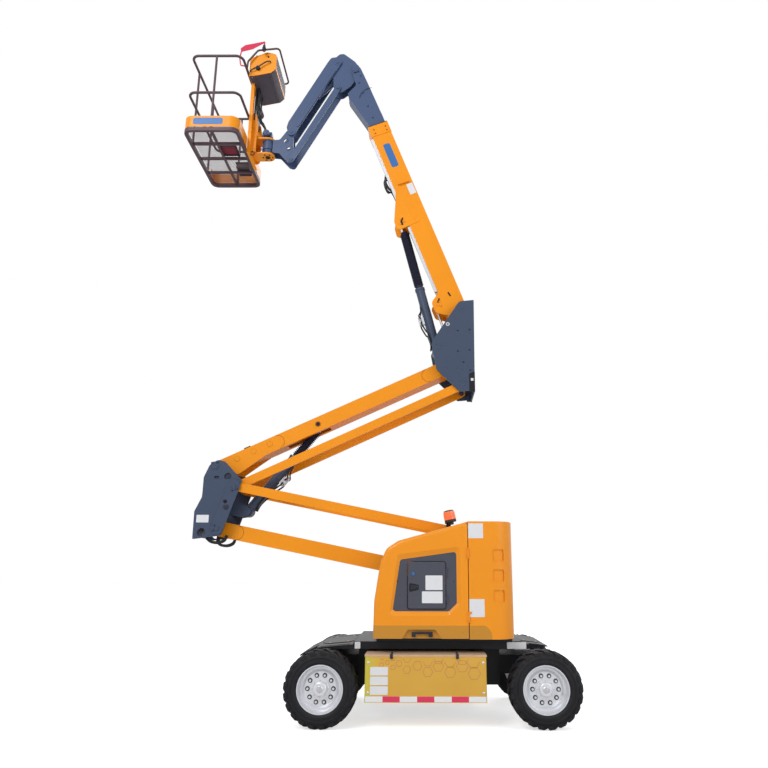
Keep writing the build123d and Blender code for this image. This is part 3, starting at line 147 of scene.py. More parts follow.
CAMERA_RAY, GLOSSY_RAY = 0, 3          # outputs of the Light Path node
FLOOR_HALF, FLOOR_GLOW = 60.0, 0.62
yard = Finish("yard_floor")
seen = yard.node("LightPath", output=CAMERA_RAY)
floor = shown("floor", [(-FLOOR_HALF, -FLOOR_HALF, 0), (FLOOR_HALF, -FLOOR_HALF, 0),
                        (FLOOR_HALF, FLOOR_HALF, 0), (-FLOOR_HALF, FLOOR_HALF, 0)], [(0, 1, 2, 3)],
              yard.shader({"Base Color": (0.8, 0.8, 0.8), "Roughness": 0.9,
                           "Emission Strength": FLOOR_GLOW,
                           "Emission Color": yard.mix(seen, (0, 0, 0), (1, 1, 1))}))

scene = bpy.context.scene
scene.view_settings.view_transform = "Standard"
scene.world = bpy.data.worlds.new("sky")
sky = Finish("sky", scene.world)
straight = sky.node("LightPath", output=CAMERA_RAY)
reflected = sky.node("LightPath", output=GLOSSY_RAY)
sky.shader({"Color": sky.mix((straight + reflected).clip(), (0.5, 0.51, 0.54), (1, 1, 1)),
            "Strength": 1.0}, "BACKGROUND")
AIM = Vector((0.8, 0, 3))
for name, place, size, power in (("key", (-6, -10, 11), 6, 900), ("fill", (10, -8, 6), 7, 350),
                                 ("rim", (3, 9, 12), 6, 350)):
    lamp = bpy.data.lights.new(name, "AREA")
    lamp.size, lamp.energy = size, power
    made = bpy.data.objects.new(name, lamp)
    made.location = place
    made.rotation_euler = (AIM - Vector(place)).to_track_quat("-Z", "Y").to_euler()
    scene.collection.objects.link(made)

JOINT = {j["name"]: j for j in frame["record"]["behaviour"]["joints"]}
pivot = {name: np.array(j["pos_m"]) for name, j in JOINT.items() if "pos_m" in j}
FOCAL, CENTRE, WIDE = 668.7, (418.2, 399.3), 768        # in parts of the picture's width
lens = bpy.data.cameras.new("eye")
lens.sensor_width = 36                 # millimetres
lens.lens = FOCAL * lens.sensor_width / WIDE
lens.shift_x, lens.shift_y = 0.5 - CENTRE[0] / WIDE, CENTRE[1] / WIDE - 0.5
eye = bpy.data.objects.new("eye", lens)
eye.location = (pivot["slew"][0] - 0.1127, -7.6937, 1.4536)
eye.rotation_euler = (math.pi / 2 + 0.2505, -0.0016, 0.0043)
scene.collection.objects.link(eye)
scene.camera = eye


# ---- shapes and pieces ------------------------------------------------------------------------
# A shape is a pair: points, and faces as lists of their numbers. Outlines are closed rows of places
# in the side view; a member's own axes are given by a Line. A piece is one or more shapes in one
# finish that ride on one body.
def mm(*values):
    """Pairs of metres from a row of millimetres: along and radius, or x and height."""
    return (np.array(values) / 1000).reshape(-1, 2).tolist()


def oblong(x0, x1, z0, z1):
    """The four corners of an upright rectangle."""
    return [(x0, z0), (x1, z0), (x1, z1), (x0, z1)]


def mirrored(half):
    """Half an outline, and after it the same places on the other side of the first axis."""
    return half + [(a, -b) for a, b in half[::-1]]


def round_the(count):
    """Angles of like things spaced evenly round a centre."""
    return np.arange(count) * 2 * np.pi / count


def circle(radius, count):
    """Places spaced evenly round a centre."""
    return [(radius * math.cos(a), radius * math.sin(a)) for a in round_the(count)]


def swung(outline, s, n, degrees):
    """An outline turned about its origin, which is then put at (s, n)."""
    c, d = math.cos(math.radians(degrees)), math.sin(math.radians(degrees))
    return [(s + u * c - v * d, n + u * d + v * c) for u, v in outline]


def bent(points, radius, steps=5):
    """A closed outline with each corner rounded by the parabola between its tangent points."""
    p = np.array(points, float)
    radius = np.broadcast_to(np.asarray(radius, float), len(p))[:, None]
    back, on = np.roll(p, 1, 0) - p, np.roll(p, -1, 0) - p
    a, b = np.linalg.norm(back, axis=1, keepdims=True), np.linalg.norm(on, axis=1, keepdims=True)
    half_angle = np.arccos(np.clip((back * on).sum(1, keepdims=True) / (a * b), -1, 1)) / 2
    cut = np.minimum(radius / np.tan(half_angle), 0.48 * np.minimum(a, b))
    t = np.linspace(0, 1, steps)[None, :, None]
    start, end = (p + back / a * cut)[:, None], (p + on / b * cut)[:, None]
    curve = (1 - t) ** 2 * start + 2 * t * (1 - t) * p[:, None] + t ** 2 * end
    return curve.reshape(-1, p.shape[1])


def shrunk(outline, by):
    """The outline moved inwards by a distance, along each corner's mean normal."""
    d = np.roll(outline, -1, 0) - np.roll(outline, 1, 0)
    length = np.maximum(np.linalg.norm(d, axis=1, keepdims=True), 1e-9)
    normal = np.stack([-d[:, 1], d[:, 0]], 1) / length
    ahead = np.roll(outline, -1, 0)
    area = (outline[:, 0] * ahead[:, 1] - ahead[:, 0] * outline[:, 1]).sum()
    return outline + normal * by * np.sign(area)


def loft(rings, caps=True):
    """Rings of equal length joined by quads; one flat face closes the first and the last."""
    rings = np.asarray(rings, float)
    k, n = rings.shape[:2]
    first = np.arange(k - 1)[:, None] * n + np.arange(n)
    after = np.arange(k - 1)[:, None] * n + (np.arange(n) + 1) % n
    faces = np.stack([first, after, after + n, first + n], -1).reshape(-1, 4).tolist()
    if caps:
        faces += [list(range(n))[::-1], list(range((k - 1) * n, k * n))]
    return rings.reshape(-1, 3), faces


def torus(rings):
    """Rings joined in a closed loop, as round a tyre."""
    rings = np.asarray(rings, float)
    points, faces = loft(np.concatenate([rings, rings[:1]]), False)
    n = len(rings) * rings.shape[1]
    return points[:n], (np.array(faces) % n).tolist()


def turned(profile, start, axis, n=40):
    """A profile of (along, radius) pairs turned about an axis: ring by ring."""
    axis = np.array(axis, float) / np.linalg.norm(axis)
    across = np.cross(axis, (0.0, 0.0, 1.0) if abs(axis[2]) < 0.9 else (1.0, 0.0, 0.0))
    across /= np.linalg.norm(across)
    other = np.cross(axis, across)
    turn = np.linspace(0, 2 * np.pi, n, endpoint=False)[None, :, None]
    along, radius = np.array(profile, float).T[:, :, None, None]
    return loft(np.array(start) + along * axis
                + radius * (np.cos(turn) * across + np.sin(turn) * other))


def screw(radius, height):
    """Profile of a button head with a hexagon socket's dimple."""
    return [(0.0, radius), (height * 0.4, radius), (height * 0.85, radius * 0.8),
            (height, radius * 0.45), (height * 0.6, radius * 0.4), (height * 0.6, radius * 0.05)]


def tube(path, radius, across=(0.0, 1.0, 0.0), steps=8, n=12):
    """A round hose whose centre line is a smooth curve through its middle points."""
    p = np.array(path, float)
    p = np.concatenate([p[:1] * 2 - p[1:2], p, p[-1:] * 2 - p[-2:-1]])
    t = np.linspace(0, 1, steps, endpoint=False)[None, :, None]
    a, b, c, d = (p[i:len(p) - 3 + i, None] for i in range(4))
    line = 0.5 * (2 * b + (c - a) * t + (2 * a - 5 * b + 4 * c - d) * t ** 2
                  + (3 * b - a - 3 * c + d) * t ** 3)
    line = np.concatenate([line.reshape(-1, 3), p[-2:-1]])
    ahead = np.gradient(line, axis=0)
    ahead /= np.linalg.norm(ahead, axis=1, keepdims=True)
    side = np.cross(ahead, across)
    side /= np.linalg.norm(side, axis=1, keepdims=True)
    up = np.cross(ahead, side)[:, None]
    turn = np.linspace(0, 2 * np.pi, n, endpoint=False)[None, :, None]
    return loft(line[:, None] + radius * (np.cos(turn) * side[:, None] + np.sin(turn) * up))


def run(line, path, y, radius, **detail):
    """A tube at one y through (s, n) places of a line."""
    return tube(line.at(*np.transpose(path), y), radius, **detail)


def bellows(start, axis, s0, s1, inner, outer, folds):
    """A pleated sleeve between two distances along an axis, with a plain cuff at each end."""
    pitch = (s1 - s0 - 0.04) / folds
    ridges = s0 + 0.02 + pitch * np.arange(folds)[:, None]
    profile = np.stack([ridges + pitch * np.array([0.0, 0.22, 0.5, 0.72]),
                        np.broadcast_to([inner, outer - 0.002, outer, inner + 0.002], (folds, 4))],
                       -1)
    cuffs = [[(s0, inner - 0.004), (s0, inner + 0.004), (s0 + 0.018, inner + 0.004)],
             [(s1 - 0.018, inner + 0.002), (s1, inner + 0.002), (s1, inner - 0.006)]]
    return turned(cuffs[0] + profile.reshape(-1, 2).tolist() + cuffs[1], start, axis, 28)


def capsule(a, b, r, n=12):
    """Outline of a plate with round ends over two places."""
    a, b = np.array(a), np.array(b)
    start = math.atan2(*(b - a)[::-1]) + math.pi / 2
    t = np.linspace(0, math.pi, n)
    return np.concatenate([end + r * np.stack([np.cos(begin + t), np.sin(begin + t)], 1)
                           for end, begin in ((a, start), (b, start + math.pi))])


class Line:
    """A member's own axes in the side view: s along it, n to its left, y across the machine."""

    def __init__(self, start, towards=(1.0, 0.0, 0.0)):
        self.start = np.array(start, float)
        c, d = towards[0], towards[2]
        self.c, self.d = c / math.hypot(c, d), d / math.hypot(c, d)
        self.axis = np.array((self.c, 0.0, self.d))

    def at(self, s, n=0.0, y=0.0):
        s, n, y = np.broadcast_arrays(np.asarray(s, float), n, y)
        return self.start + np.stack([s * self.c - n * self.d, y, s * self.d + n * self.c], -1)

    def slab(self, outline, y0, y1, corner=0.0, edge=0.0015):
        """A plate between y0 and y1, its corners rounded and its edges broken."""
        o = bent(outline, corner) if np.any(np.asarray(corner) > 0) else np.array(outline, float)
        y0, y1 = sorted((y0, y1))
        levels = ((shrunk(o, edge), y0), (o, y0 + edge), (o, y1 - edge), (shrunk(o, edge), y1))
        return loft([self.at(r[:, 0], r[:, 1], y) for r, y in levels])

    def knob(self, s, n, y, side, profile, count=28):
        """A head turned about a pin at (s, n), from (height, radius) pairs outwards of a face."""
        return turned(profile, self.at(s, n, y), (0, side, 0), count)


def box(low, high, edge=0.003):
    """A block between two corners with all its upright and top edges broken."""
    (x0, y0, z0), (x1, y1, z1) = low, high
    plan = bent([(x0, y0), (x1, y0), (x1, y1), (x0, y1)], edge, 3)
    levels = ((shrunk(plan, edge), z0), (plan, z0 + edge), (plan, z1 - edge),
              (shrunk(plan, edge), z1))
    return loft([np.column_stack([r, np.full(len(r), z)]) for r, z in levels])


def sided(x0, x1, y0, y1, z0, z1, side, edge=0.001):
    """A block on one side of the machine, between two distances y from its middle."""
    return box((x0, min(side * y0, side * y1), z0), (x1, max(side * y0, side * y1), z1), edge)


side_x = Line((0, 0, 0))                        # s is x in the shared frame, n the height
side_view = Line((pivot["slew"][0], 0, 0))      # s is x from the slew axis, n the height
SIDES = ((-1, "near"), (1, "far"))
BOLT_HEAD = mm(0, 11.5, 1.6, 11.5, 1.8, 8.8, 7, 8.8, 8.2, 7.6, 8.4, 0.6)


def plate(x0, x1, z0, z1, y, side, line=side_view, thick=0.001, corner=0.006):
    """A thin plate on a face at y that looks towards the given side."""
    return line.slab(oblong(x0, x1, z0, z1), side * (y - 0.0002), side * (y + thick), corner,
                     0.0003)


def bolts(places, y, side, line=side_view, profile=BOLT_HEAD, count=6):
    """Like heads at several (s, n) places on a face at y."""
    return [line.knob(s, n, side * y, side, profile, count) for s, n in places]


def both_bolts(places, y, line=side_view, profile=BOLT_HEAD, count=6):
    """Like heads on the near side, then the same on the far side."""
    return [b for side in (-1, 1) for b in bolts(places, y, side, line, profile, count)]


def bead(line, outline, y, side, radius=0.003):
    """A thin bead round a closed outline at a raised plate's foot: painted shade, in a dark paint.
    """
    o = np.array(outline, float)
    ahead = np.roll(o, -1, 0) - np.roll(o, 1, 0)
    out = np.stack([ahead[:, 1], -ahead[:, 0]], 1) / np.linalg.norm(ahead, axis=1, keepdims=True)
    ring = [(radius * math.cos(a), radius * 0.8 * math.sin(a)) for a in round_the(8)]
    return torus(np.stack([line.at(o[:, 0] + out[:, 0] * u, o[:, 1] + out[:, 1] * u, side * (y + v))
                           for u, v in ring], 1))


def corners(node):
    """The two corners of a CAD node's box."""
    return (np.array(c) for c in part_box(node))


def gathered(shapes):
    """Several shapes as one list of points and faces."""
    starts = np.cumsum([0] + [len(p) for p, _ in shapes])
    points = np.concatenate([p for p, _ in shapes])
    return points, [[i + s for i in face] for (_, faces), s in zip(shapes, starts)
                    for face in faces]


def piece(name, shapes, finish, body, sharp=32.0):
    """A finished piece that rides on a body: faces outward, edges over the angle kept crisp."""
    made = shown(name, *gathered(shapes), finish)
    work = bmesh.new()
    work.from_mesh(made.data)
    bmesh.ops.recalc_face_normals(work, faces=work.faces)
    work.to_mesh(made.data)
    work.free()
    made.data.shade_smooth()
    made.data.set_sharp_from_angle(angle=math.radians(sharp))
    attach(made, body)
    return made


def painted(name, shapes, kind, body, sharp=32.0):
    """A piece in one of the listed paints."""
    return piece(name, shapes, paint[kind], body, sharp)


def bright(name, shapes, body):
    return piece(name, shapes, steel, body)


def blank(name, plates, body, finish=None):
    """A piece of blank plates, white unless another finish is given."""
    return piece(name, plates, finish or plate_white, body)


def hoses(name, shapes, body):
    return piece(name, shapes, hose_rubber, body)


# ---- paints of the carried-over metalwork -----------------------------------------------------
# Sheet and plate parts are sprayed with two-pack enamel: a faint orange peel, slightly uneven gloss
# and a film of dust that settles on faces that look up.
DUST = (0.42, 0.39, 0.34)


def enamel(name, colour, rough=0.34, dust=0.1, grain=260.0, peel=0.05):
    """Paint whose tone drifts by a few percent over half a metre, with dust on upward faces."""
    f = Finish(name)
    drift = f.noise(2.2)
    upward = f.node("SeparateXYZ", (f.node("NewGeometry", output=1),), 2)
    film = (upward * f.noise(9.0, 5.0) * dust).clip()
    tone = f.mix(drift, [c * 0.93 for c in colour], [min(1.0, c * 1.07) for c in colour])
    return f.shader({"Base Color": f.mix(film, tone, DUST), "Metallic": 0.0,
                     "Roughness": rough + 0.1 * (f.noise(14.0) - 0.5) + film * 0.8,
                     "Coat Weight": 0.05, "Coat Roughness": 0.12, "Specular IOR Level": 0.22,
                     "Normal": f.bump(f.noise(grain, 2.0), peel)})


ORANGE, SLATE = (0.88, 0.3, 0.007), (0.053, 0.073, 0.121)
paint = {
    "orange_paint": enamel("orange_enamel", ORANGE),
    "slate_paint": enamel("slate_enamel", SLATE, 0.4),
    "black_paint": enamel("black_enamel", (0.009, 0.0095, 0.013), 0.42, 0.08),
    "rail_paint": enamel("rail_powder_coat", (0.105, 0.066, 0.078), 0.5, 0.1, 700.0, 0.25),
    "red_paint": enamel("red_enamel", (0.62, 0.025, 0.075), 0.35),
    "bare_iron": enamel("cast_weight", (0.11, 0.11, 0.12), 0.6, 0.2, 120.0, 0.5),
    "battery_case": enamel("battery_case", (0.035, 0.035, 0.038), 0.55, 0.2, 500.0, 0.2),
}


def metal(name, colour, rough, streak=(3.0, 3.0, 3.0), metallic=1.0):
    """Bare metal with fine tool marks drawn out along one axis."""
    f = Finish(name)
    marks = f.noise(60.0, 4.0, f.node("Mapping", {"Vector": f.place(), "Scale": streak}))
    return f.shader({"Base Color": f.mix(marks, [c * 0.85 for c in colour], colour),
                     "Metallic": metallic,
                     "Roughness": rough + 0.12 * (marks - 0.5), "Normal": f.bump(marks, 0.08)})


def rubber(name, colour, rough=0.72, grain=300.0, depth=0.25, dust=0.25):
    """Moulded rubber: matt, finely pitted, and greyer where dust lies."""
    f = Finish(name)
    film = (f.noise(7.0, 5.0) - 0.45).clip() * dust * 4.0
    return f.shader({"Base Color": f.mix(film.clip(), colour, (0.16, 0.15, 0.14)), "Metallic": 0.0,
                     "Roughness": rough + 0.12 * (f.noise(30.0) - 0.5), "Specular IOR Level": 0.3,
                     "Normal": f.bump(f.noise(grain, 4.0), depth)})


paint["rod_chrome"] = metal("hard_chrome", (0.8, 0.8, 0.82), 0.1)
paint["rim_paint"] = metal("rim_silver", (0.78, 0.79, 0.82), 0.34, (1.0, 1.0, 1.0), 0.55)
paint["bare_aluminium"] = metal("milled_aluminium", (0.62, 0.63, 0.66), 0.34, (3.0, 20.0, 3.0))
paint["rest_rubber"] = rubber("pad_rubber", (0.022, 0.024, 0.032))
paint["tyre_rubber"] = rubber("tyre_rubber", (0.0055, 0.0058, 0.0085), 0.62, dust=0.03)
steel = metal("bright_steel", (0.66, 0.66, 0.68), 0.28)
hose_rubber = rubber("hose_rubber", (0.014, 0.014, 0.017), 0.5, 900.0, 0.1, 0.1)


# ---- wheels: solid tyres on dished steel rims -------------------------------------------------
# Each tyre is one rubber moulding: a smooth sidewall with two ribs, a carcass band, and two rows
# of deep slanted lugs, staggered, that run from the shoulder past the middle of the tread.
WHEELS = ("near_drive", "far_drive", "near_steer", "far_steer")
SIDEWALL, GROOVE, LUG_COUNT, SLANT = 0.132, 0.017, 21, 0.15
for name in WHEELS:
    low, high = corners(name + "_tyre")
    hub, outer, half = (low + high) / 2, (high[2] - low[2]) / 2, (high[1] - low[1]) / 2
    inner = outer - SIDEWALL
    wall = [(inner, -half + 0.014), (inner + 0.02, -half), (inner + 0.045, -half + 0.001),
            (inner + 0.049, -half + 0.005), (inner + 0.056, -half + 0.005),
            (inner + 0.06, -half + 0.001), (outer - 0.05, -half + 0.004),
            (outer - GROOVE - 0.004, -half + 0.02), (outer - GROOVE, -half + 0.034)]
    r, y = np.array(mirrored(wall)).T
    turn = np.linspace(0, 2 * np.pi, 96, endpoint=False)[:, None]
    carcass = torus(hub + np.stack([r * np.cos(turn), y + 0 * turn, r * np.sin(turn)], -1))
    # a lug: five sections from the shoulder's foot past the middle, each a drafted bar
    reach = np.array([-half + 0.001, -half + 0.004, -half + 0.03, -0.055, 0.018])
    crest = outer - np.array([0.04, 0.014, 0.0012, 0.0004, 0.0004])
    foot = np.minimum(crest - 0.004, outer - GROOVE - 0.006)
    width = np.array([0.062, 0.064, 0.064, 0.058, 0.048]) / outer
    corner = np.array([(-0.5, 0), (-0.4, 1), (0.4, 1), (0.5, 0)])
    lugs = []
    for side in (-1, 1):
        shift = 0 if side < 0 else np.pi / LUG_COUNT        # the far row's lugs fall between
        lean = SLANT * (reach + half) / half * 1.4
        middle = round_the(LUG_COUNT)[:, None] + shift + lean
        angle = middle[..., None] + width[:, None] * corner[:, 0]
        radius = np.where(corner[:, 1] > 0, crest[:, None], foot[:, None])
        across = -side * np.broadcast_to(reach[:, None], angle.shape)
        rings = hub + np.stack([radius * np.cos(angle), across, radius * np.sin(angle)], -1)
        lugs += [loft(one) for one in rings]
    tyre = painted(name + "_tread", [carcass] + lugs, "tyre_rubber", name + "_wheel")
    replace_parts(tyre, name + "_tyre")

# every rim: dark discs round its studs as painted shade, a valve, a hub cap held by eight screws
STUDS, STUD_R, DISC_IN, CAP_SCREWS, CAP_R, CAP_OUT = 10, 0.125, 0.062, 8, 0.078, 0.0498
STUD_SHADE_DISC = mm(0, 22.5, 0.8, 22.5, 0.8, 1)
VALVE = mm(0, 6, 20, 6, 22, 4, 30, 4, 31, 0.5)
HUB_CAP = mm(0, 30, 5, 30, 8, 26, 8, 12, 12, 10, 12, 0.5)
CAP_SCREW = mm(0, 6.5, 4, 6.5, 5, 0.5)
# the stud discs are a flat dark colour: painted shade in the recesses round the wheel studs
stud_shade_paint = enamel("stud_shadow", (0.035, 0.036, 0.04), 0.5)
for name in WHEELS:
    low, high = corners(name + "_rim")
    side = -1 if low[1] < 0 else 1
    face = max(abs(low[1]), abs(high[1])) - DISC_IN
    wheel = Line(((low[0] + high[0]) / 2, 0, (low[2] + high[2]) / 2))
    piece(name + "_stud_rings", bolts(circle(STUD_R, STUDS), face - 0.0002, side, wheel,
                                      STUD_SHADE_DISC, 20), stud_shade_paint, name + "_wheel")
    bright(name + "_hub_bolts",
           bolts([(0.165, -0.04)], face - 0.006, side, wheel, VALVE, 12)
           + bolts([(0, 0)], face + CAP_OUT, side, wheel, HUB_CAP, 30)
           + bolts(circle(CAP_R, CAP_SCREWS), face + 0.0198, side, wheel, CAP_SCREW),
           name + "_wheel")


# ---- chassis and deck -------------------------------------------------------------------------
# A flat black deck whose ends slope down between the wheels. Hatches with clipped corners lie on
# both slopes, held by button-headed screws.
deck_low, deck_high = corners("deck")
deck_top, under = deck_high[2], deck_low[2]
front, back = deck_low[0], deck_high[0]
SURFACE = np.array([(front - 0.19, under - 0.07), (front - 0.01, deck_top - 0.059),
                    (front + 0.36, deck_top - 0.028), (front + 0.372, deck_top),
                    (back - 0.075, deck_top), (back - 0.063, deck_top - 0.019),
                    (back + 0.1, deck_top - 0.036), (back + 0.2, deck_top - 0.052)])
CLIP = back - 0.15              # beyond this line the deck is narrower, for the steered tyres
CLIP_BY, FRONT_HALF, BACK_HALF = 0.045, 0.42, 0.45
main = [(front, deck_top - 0.059), *SURFACE[2:4], (CLIP, deck_top), (CLIP, under), (front, under)]
narrow = [(CLIP - 0.004, deck_top), SURFACE[4], SURFACE[5], (back, deck_top - 0.027), (back, under),
          (CLIP - 0.004, under)]
front_end = [(SURFACE[0, 0] - 0.006, SURFACE[0, 1] - 0.012), SURFACE[0], SURFACE[1],
             (front + 0.004, deck_top - 0.0585), (front + 0.004, under + 0.002),
             (front - 0.01, under - 0.004), (SURFACE[0, 0], SURFACE[0, 1] - 0.016)]
tongue = [(back - 0.002, deck_top - 0.027), *SURFACE[6:], (SURFACE[7, 0] + 0.006, deck_top - 0.062),
          (back - 0.002, deck_top - 0.062)]
covers = [side_x.slab(outline, y0, y1, 0.0, 0.003)
          for outline, y0, y1 in ((main, deck_low[1], deck_high[1]),
                                  (narrow, deck_low[1] + CLIP_BY, deck_high[1] - CLIP_BY),
                                  (front_end, -FRONT_HALF, FRONT_HALF),
                                  (tongue, -BACK_HALF, BACK_HALF))]
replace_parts(painted("deck_covers", covers, "black_paint", "root", 15.0), "deck")


def draped(outline, h0, h1, edge=0.002):
    """A plate seen from above, lying on the deck's surface, with broken edges."""
    o = bent(outline, 0.02, 4)
    return loft([np.column_stack([r, np.interp(r[:, 0], *SURFACE.T) + h])
                 for r, h in ((o, h0), (o, h1 - edge), (shrunk(o, edge * 2), h1))])


def deck_screws(xs, ys, rise):
    return [turned(screw(0.01, 0.005), (x, y, np.interp(x, *SURFACE.T) + rise), (0, 0, 1), 14)
            for x in xs for y in ys]


x0, x1 = front + 0.008, front + 0.345
hatches = [draped(mirrored([(x0, -0.2), (x0 + 0.07, -0.34), (x1 - 0.05, -0.34), (x1, -0.24)]),
                  -0.001, 0.007)]
heads = deck_screws((x0 + 0.09, x1 - 0.06), (-0.31, 0.31), 0.0065)
hatches += [draped(oblong(x0 + 0.02, x1 - 0.02, y - 0.07, y + 0.07), -0.001, 0.004)
            for y in (-0.48, 0.48)]
hatches += [draped(oblong(x0 - 0.18, x0 - 0.035, y - 0.08, y + 0.08), -0.001, 0.004)
            for y in (-0.28, 0.28)]
x0, x1 = back - 0.055, back + 0.17
hatches.append(draped(mirrored([(x0, -0.28), (x1 - 0.05, -0.28), (x1, -0.18)]), -0.001, 0.006))
heads += deck_screws((x0 + 0.04, x1 - 0.06), (-0.25, 0.25), 0.0055)
painted("deck_hatches", hatches, "black_paint", "root", 20.0)
bright("deck_screws", heads, "root")


# ---- battery boxes ----------------------------------------------------------------------------
# Pressed steel boxes in golden enamel under a bare composite lid. Their faces carry rows of hexagon
# outlines that grow towards one end, four dome rivets and a band of red and white reflective tape.
gold = Finish("box_enamel")
gx, _, gz = gold.axes()
box_low, box_high = corners("near_battery_box")
LID = 0.0182
lid = gz > box_high[2] - LID
ends = ((gx - (box_low[0] + 0.15)) * -7.0).clip()
panel_tone = gold.mix(gold.noise(3.0), (0.64, 0.345, 0.035), (0.72, 0.41, 0.055))
lid_tone = gold.mix(gold.noise(22.0, 6.0), (0.5, 0.32, 0.19), (0.68, 0.47, 0.3))
gold.shader({"Base Color": gold.mix(lid, gold.mix(ends, panel_tone, (0.58, 0.52, 0.045)), lid_tone),
             "Roughness": 0.36 + lid * 0.3 + 0.08 * gold.noise(12.0),
             "Normal": gold.bump(gold.noise(300.0), 0.06)})
paint["gold_paint"] = gold.data

tape = Finish("reflective_tape")
tx = tape.axes()[0]
tape_low, tape_high = box_low[0] + 0.012, box_high[0] - 0.012
BANDS, TAPE_HEIGHT = 7.0, 0.05
share = (tx - tape_low) * (BANDS / (tape_high - tape_low))
red = (share % 2.0) > 1.0
cells = tape.node("TexVoronoi", {"Vector": tape.place(), "Scale": 260.0},
                  feature="DISTANCE_TO_EDGE")
tape.shader({"Base Color": tape.mix(red, (0.8, 0.82, 0.82), (0.72, 0.012, 0.085)),
             "Roughness": 0.28, "Coat Weight": 0.6, "Normal": tape.bump(cells, 0.12)})
line_ink = enamel("line_ink", (0.52, 0.2, 0.1), 0.4)
plate_white = enamel("blank_plate", (0.74, 0.75, 0.76), 0.3, 0.03)

# millimetres from the face's upper corner: along, down, and the hexagon's radius
CELLS = ((168, 15, 17), (219, 52, 22), (161, 75, 24), (272, 15, 26), (272, 97, 26),
         (330, 62, 32), (406, 17, 40), (406, 116, 40), (507, 81, 47), (607, 42, 48),
         (605, 136, 50), (709, 20, 49), (707, 85, 53), (821, 46, 55), (821, 138, 56),
         (937, 85, 59), (937, 20, 58), (1044, 48, 60), (1050, 150, 62))
INK_WIDTH = 0.0045
DOME = mm(0, 12, 1, 12, 2.6, 9, 3.6, 4, 3.8, 0.6)
box_length, box_top = box_high[0] - box_low[0], box_high[2]
for side, which in SIDES:
    face = side * (abs(box_low[1]) - 0.004)
    strips = []
    for x, z, r in np.array(CELLS) / 1000:
        x, z = box_low[0] + x, box_top - 0.018 - z
        turn = round_the(6)
        outline = np.stack([x + r * np.cos(turn), z + r * np.sin(turn)], 1)
        inside = outline + (np.array([x, z]) - outline) * INK_WIDTH / r
        for i, j in zip(range(6), (1, 2, 3, 4, 5, 0)):
            bar = np.array([outline[i], outline[j], inside[j], inside[i]])
            if bar[:, 1].max() < box_top - 0.021 and bar[:, 0].max() < tape_high:
                strips.append(side_x.slab(bar, face, face + side * 0.0006, 0.0, 0.0001))
    piece(which + "_hexagon_lines", strips, line_ink, "root", 20.0)
    z0 = box_low[2] + 0.006
    band = side_x.slab(oblong(tape_low, tape_high, z0, z0 + TAPE_HEIGHT), face,
                       face + side * 0.0008, 0.0, 0.0003)
    piece(which + "_tape", [band], tape.data, "root")
    blank(which + "_box_plates",
          [side_x.slab(oblong(box_low[0] + 0.055, box_low[0] + 0.225, z, z + 0.076), face,
                       face + side * 0.001, 0.006, 0.0004)
           for z in (box_low[2] + 0.07, box_low[2] + 0.156, box_low[2] + 0.242)], "root")
    bright(which + "_rivets", [side_x.knob(x, z, face, side, DOME, 18)
                               for x in (box_low[0] + 0.036, box_high[0] - 0.036)
                               for z in (box_low[2] + 0.086, box_top - 0.072)], "root")
    straps = []
    for x in (box_low[0] + 0.22 * box_length, box_low[0] + 0.76 * box_length):
        hook = oblong(x - 0.014, x + 0.014, box_top - 0.036, box_top + 0.01)
        straps += [side_x.slab(hook, side * (abs(box_low[1]) - 0.001),
                               side * (abs(box_low[1]) + 0.009), 0.006, 0.002),
                   sided(x - 0.01, x + 0.01, 0.7, 0.868, box_top - 0.002, box_top + 0.008, side,
                         0.003)]
    painted(which + "_lid_straps", straps, "rest_rubber", "root")


# ---- turntable: mouldings, side door, handles and beacon --------------------------------------
# Hoods and tail are gel-coated mouldings with a darker sprayed skirt; the skirt ends in a quarter
# round behind the seam. Door and side panels are finely textured dark mouldings.
gel = Finish("orange_moulding")
mx, _, mz = gel.axes()
hood_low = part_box("near_hood")[0]
tail_low, tail_high = corners("tail_cover")
SKIRT, SKIRT_PAST, SKIRT_ROUND = 0.122, 0.147, 0.087     # height, reach past the seam, last round
bend_x = ((mx - (tail_low[0] + SKIRT_PAST)) * (1 / SKIRT_ROUND)).maths("MAXIMUM", 0.0)
bend_z = (mz - hood_low[2]) * (1 / SKIRT)
skirt = ((bend_x * bend_x + bend_z * bend_z) < 1.0) * (mz > 0.5)
colour = gel.mix(gel.noise(1.6), [c * 0.95 for c in ORANGE], [c * 1.05 for c in ORANGE])
gel.shader({"Base Color": gel.mix(skirt, colour, (0.56, 0.245, 0.022)), "Coat Weight": 0.12,
            "Specular IOR Level": 0.3, "Roughness": 0.3 + 0.1 * gel.noise(5.0),
            "Coat Roughness": 0.1, "Normal": gel.bump(gel.noise(7.0, 1.0), 0.1, 0.01)})
paint["orange_moulding"] = gel.data
skin = Finish("textured_panel")
leather = skin.node("TexVoronoi", {"Vector": skin.place(), "Scale": 900.0})
skin.shader({"Base Color": skin.mix(skin.noise(4.0), (0.044, 0.048, 0.068), (0.056, 0.06, 0.083)),
             "Roughness": 0.5 + 0.1 * skin.noise(20.0), "Normal": skin.bump(leather, 0.1)})
paint["door_panel"] = skin.data

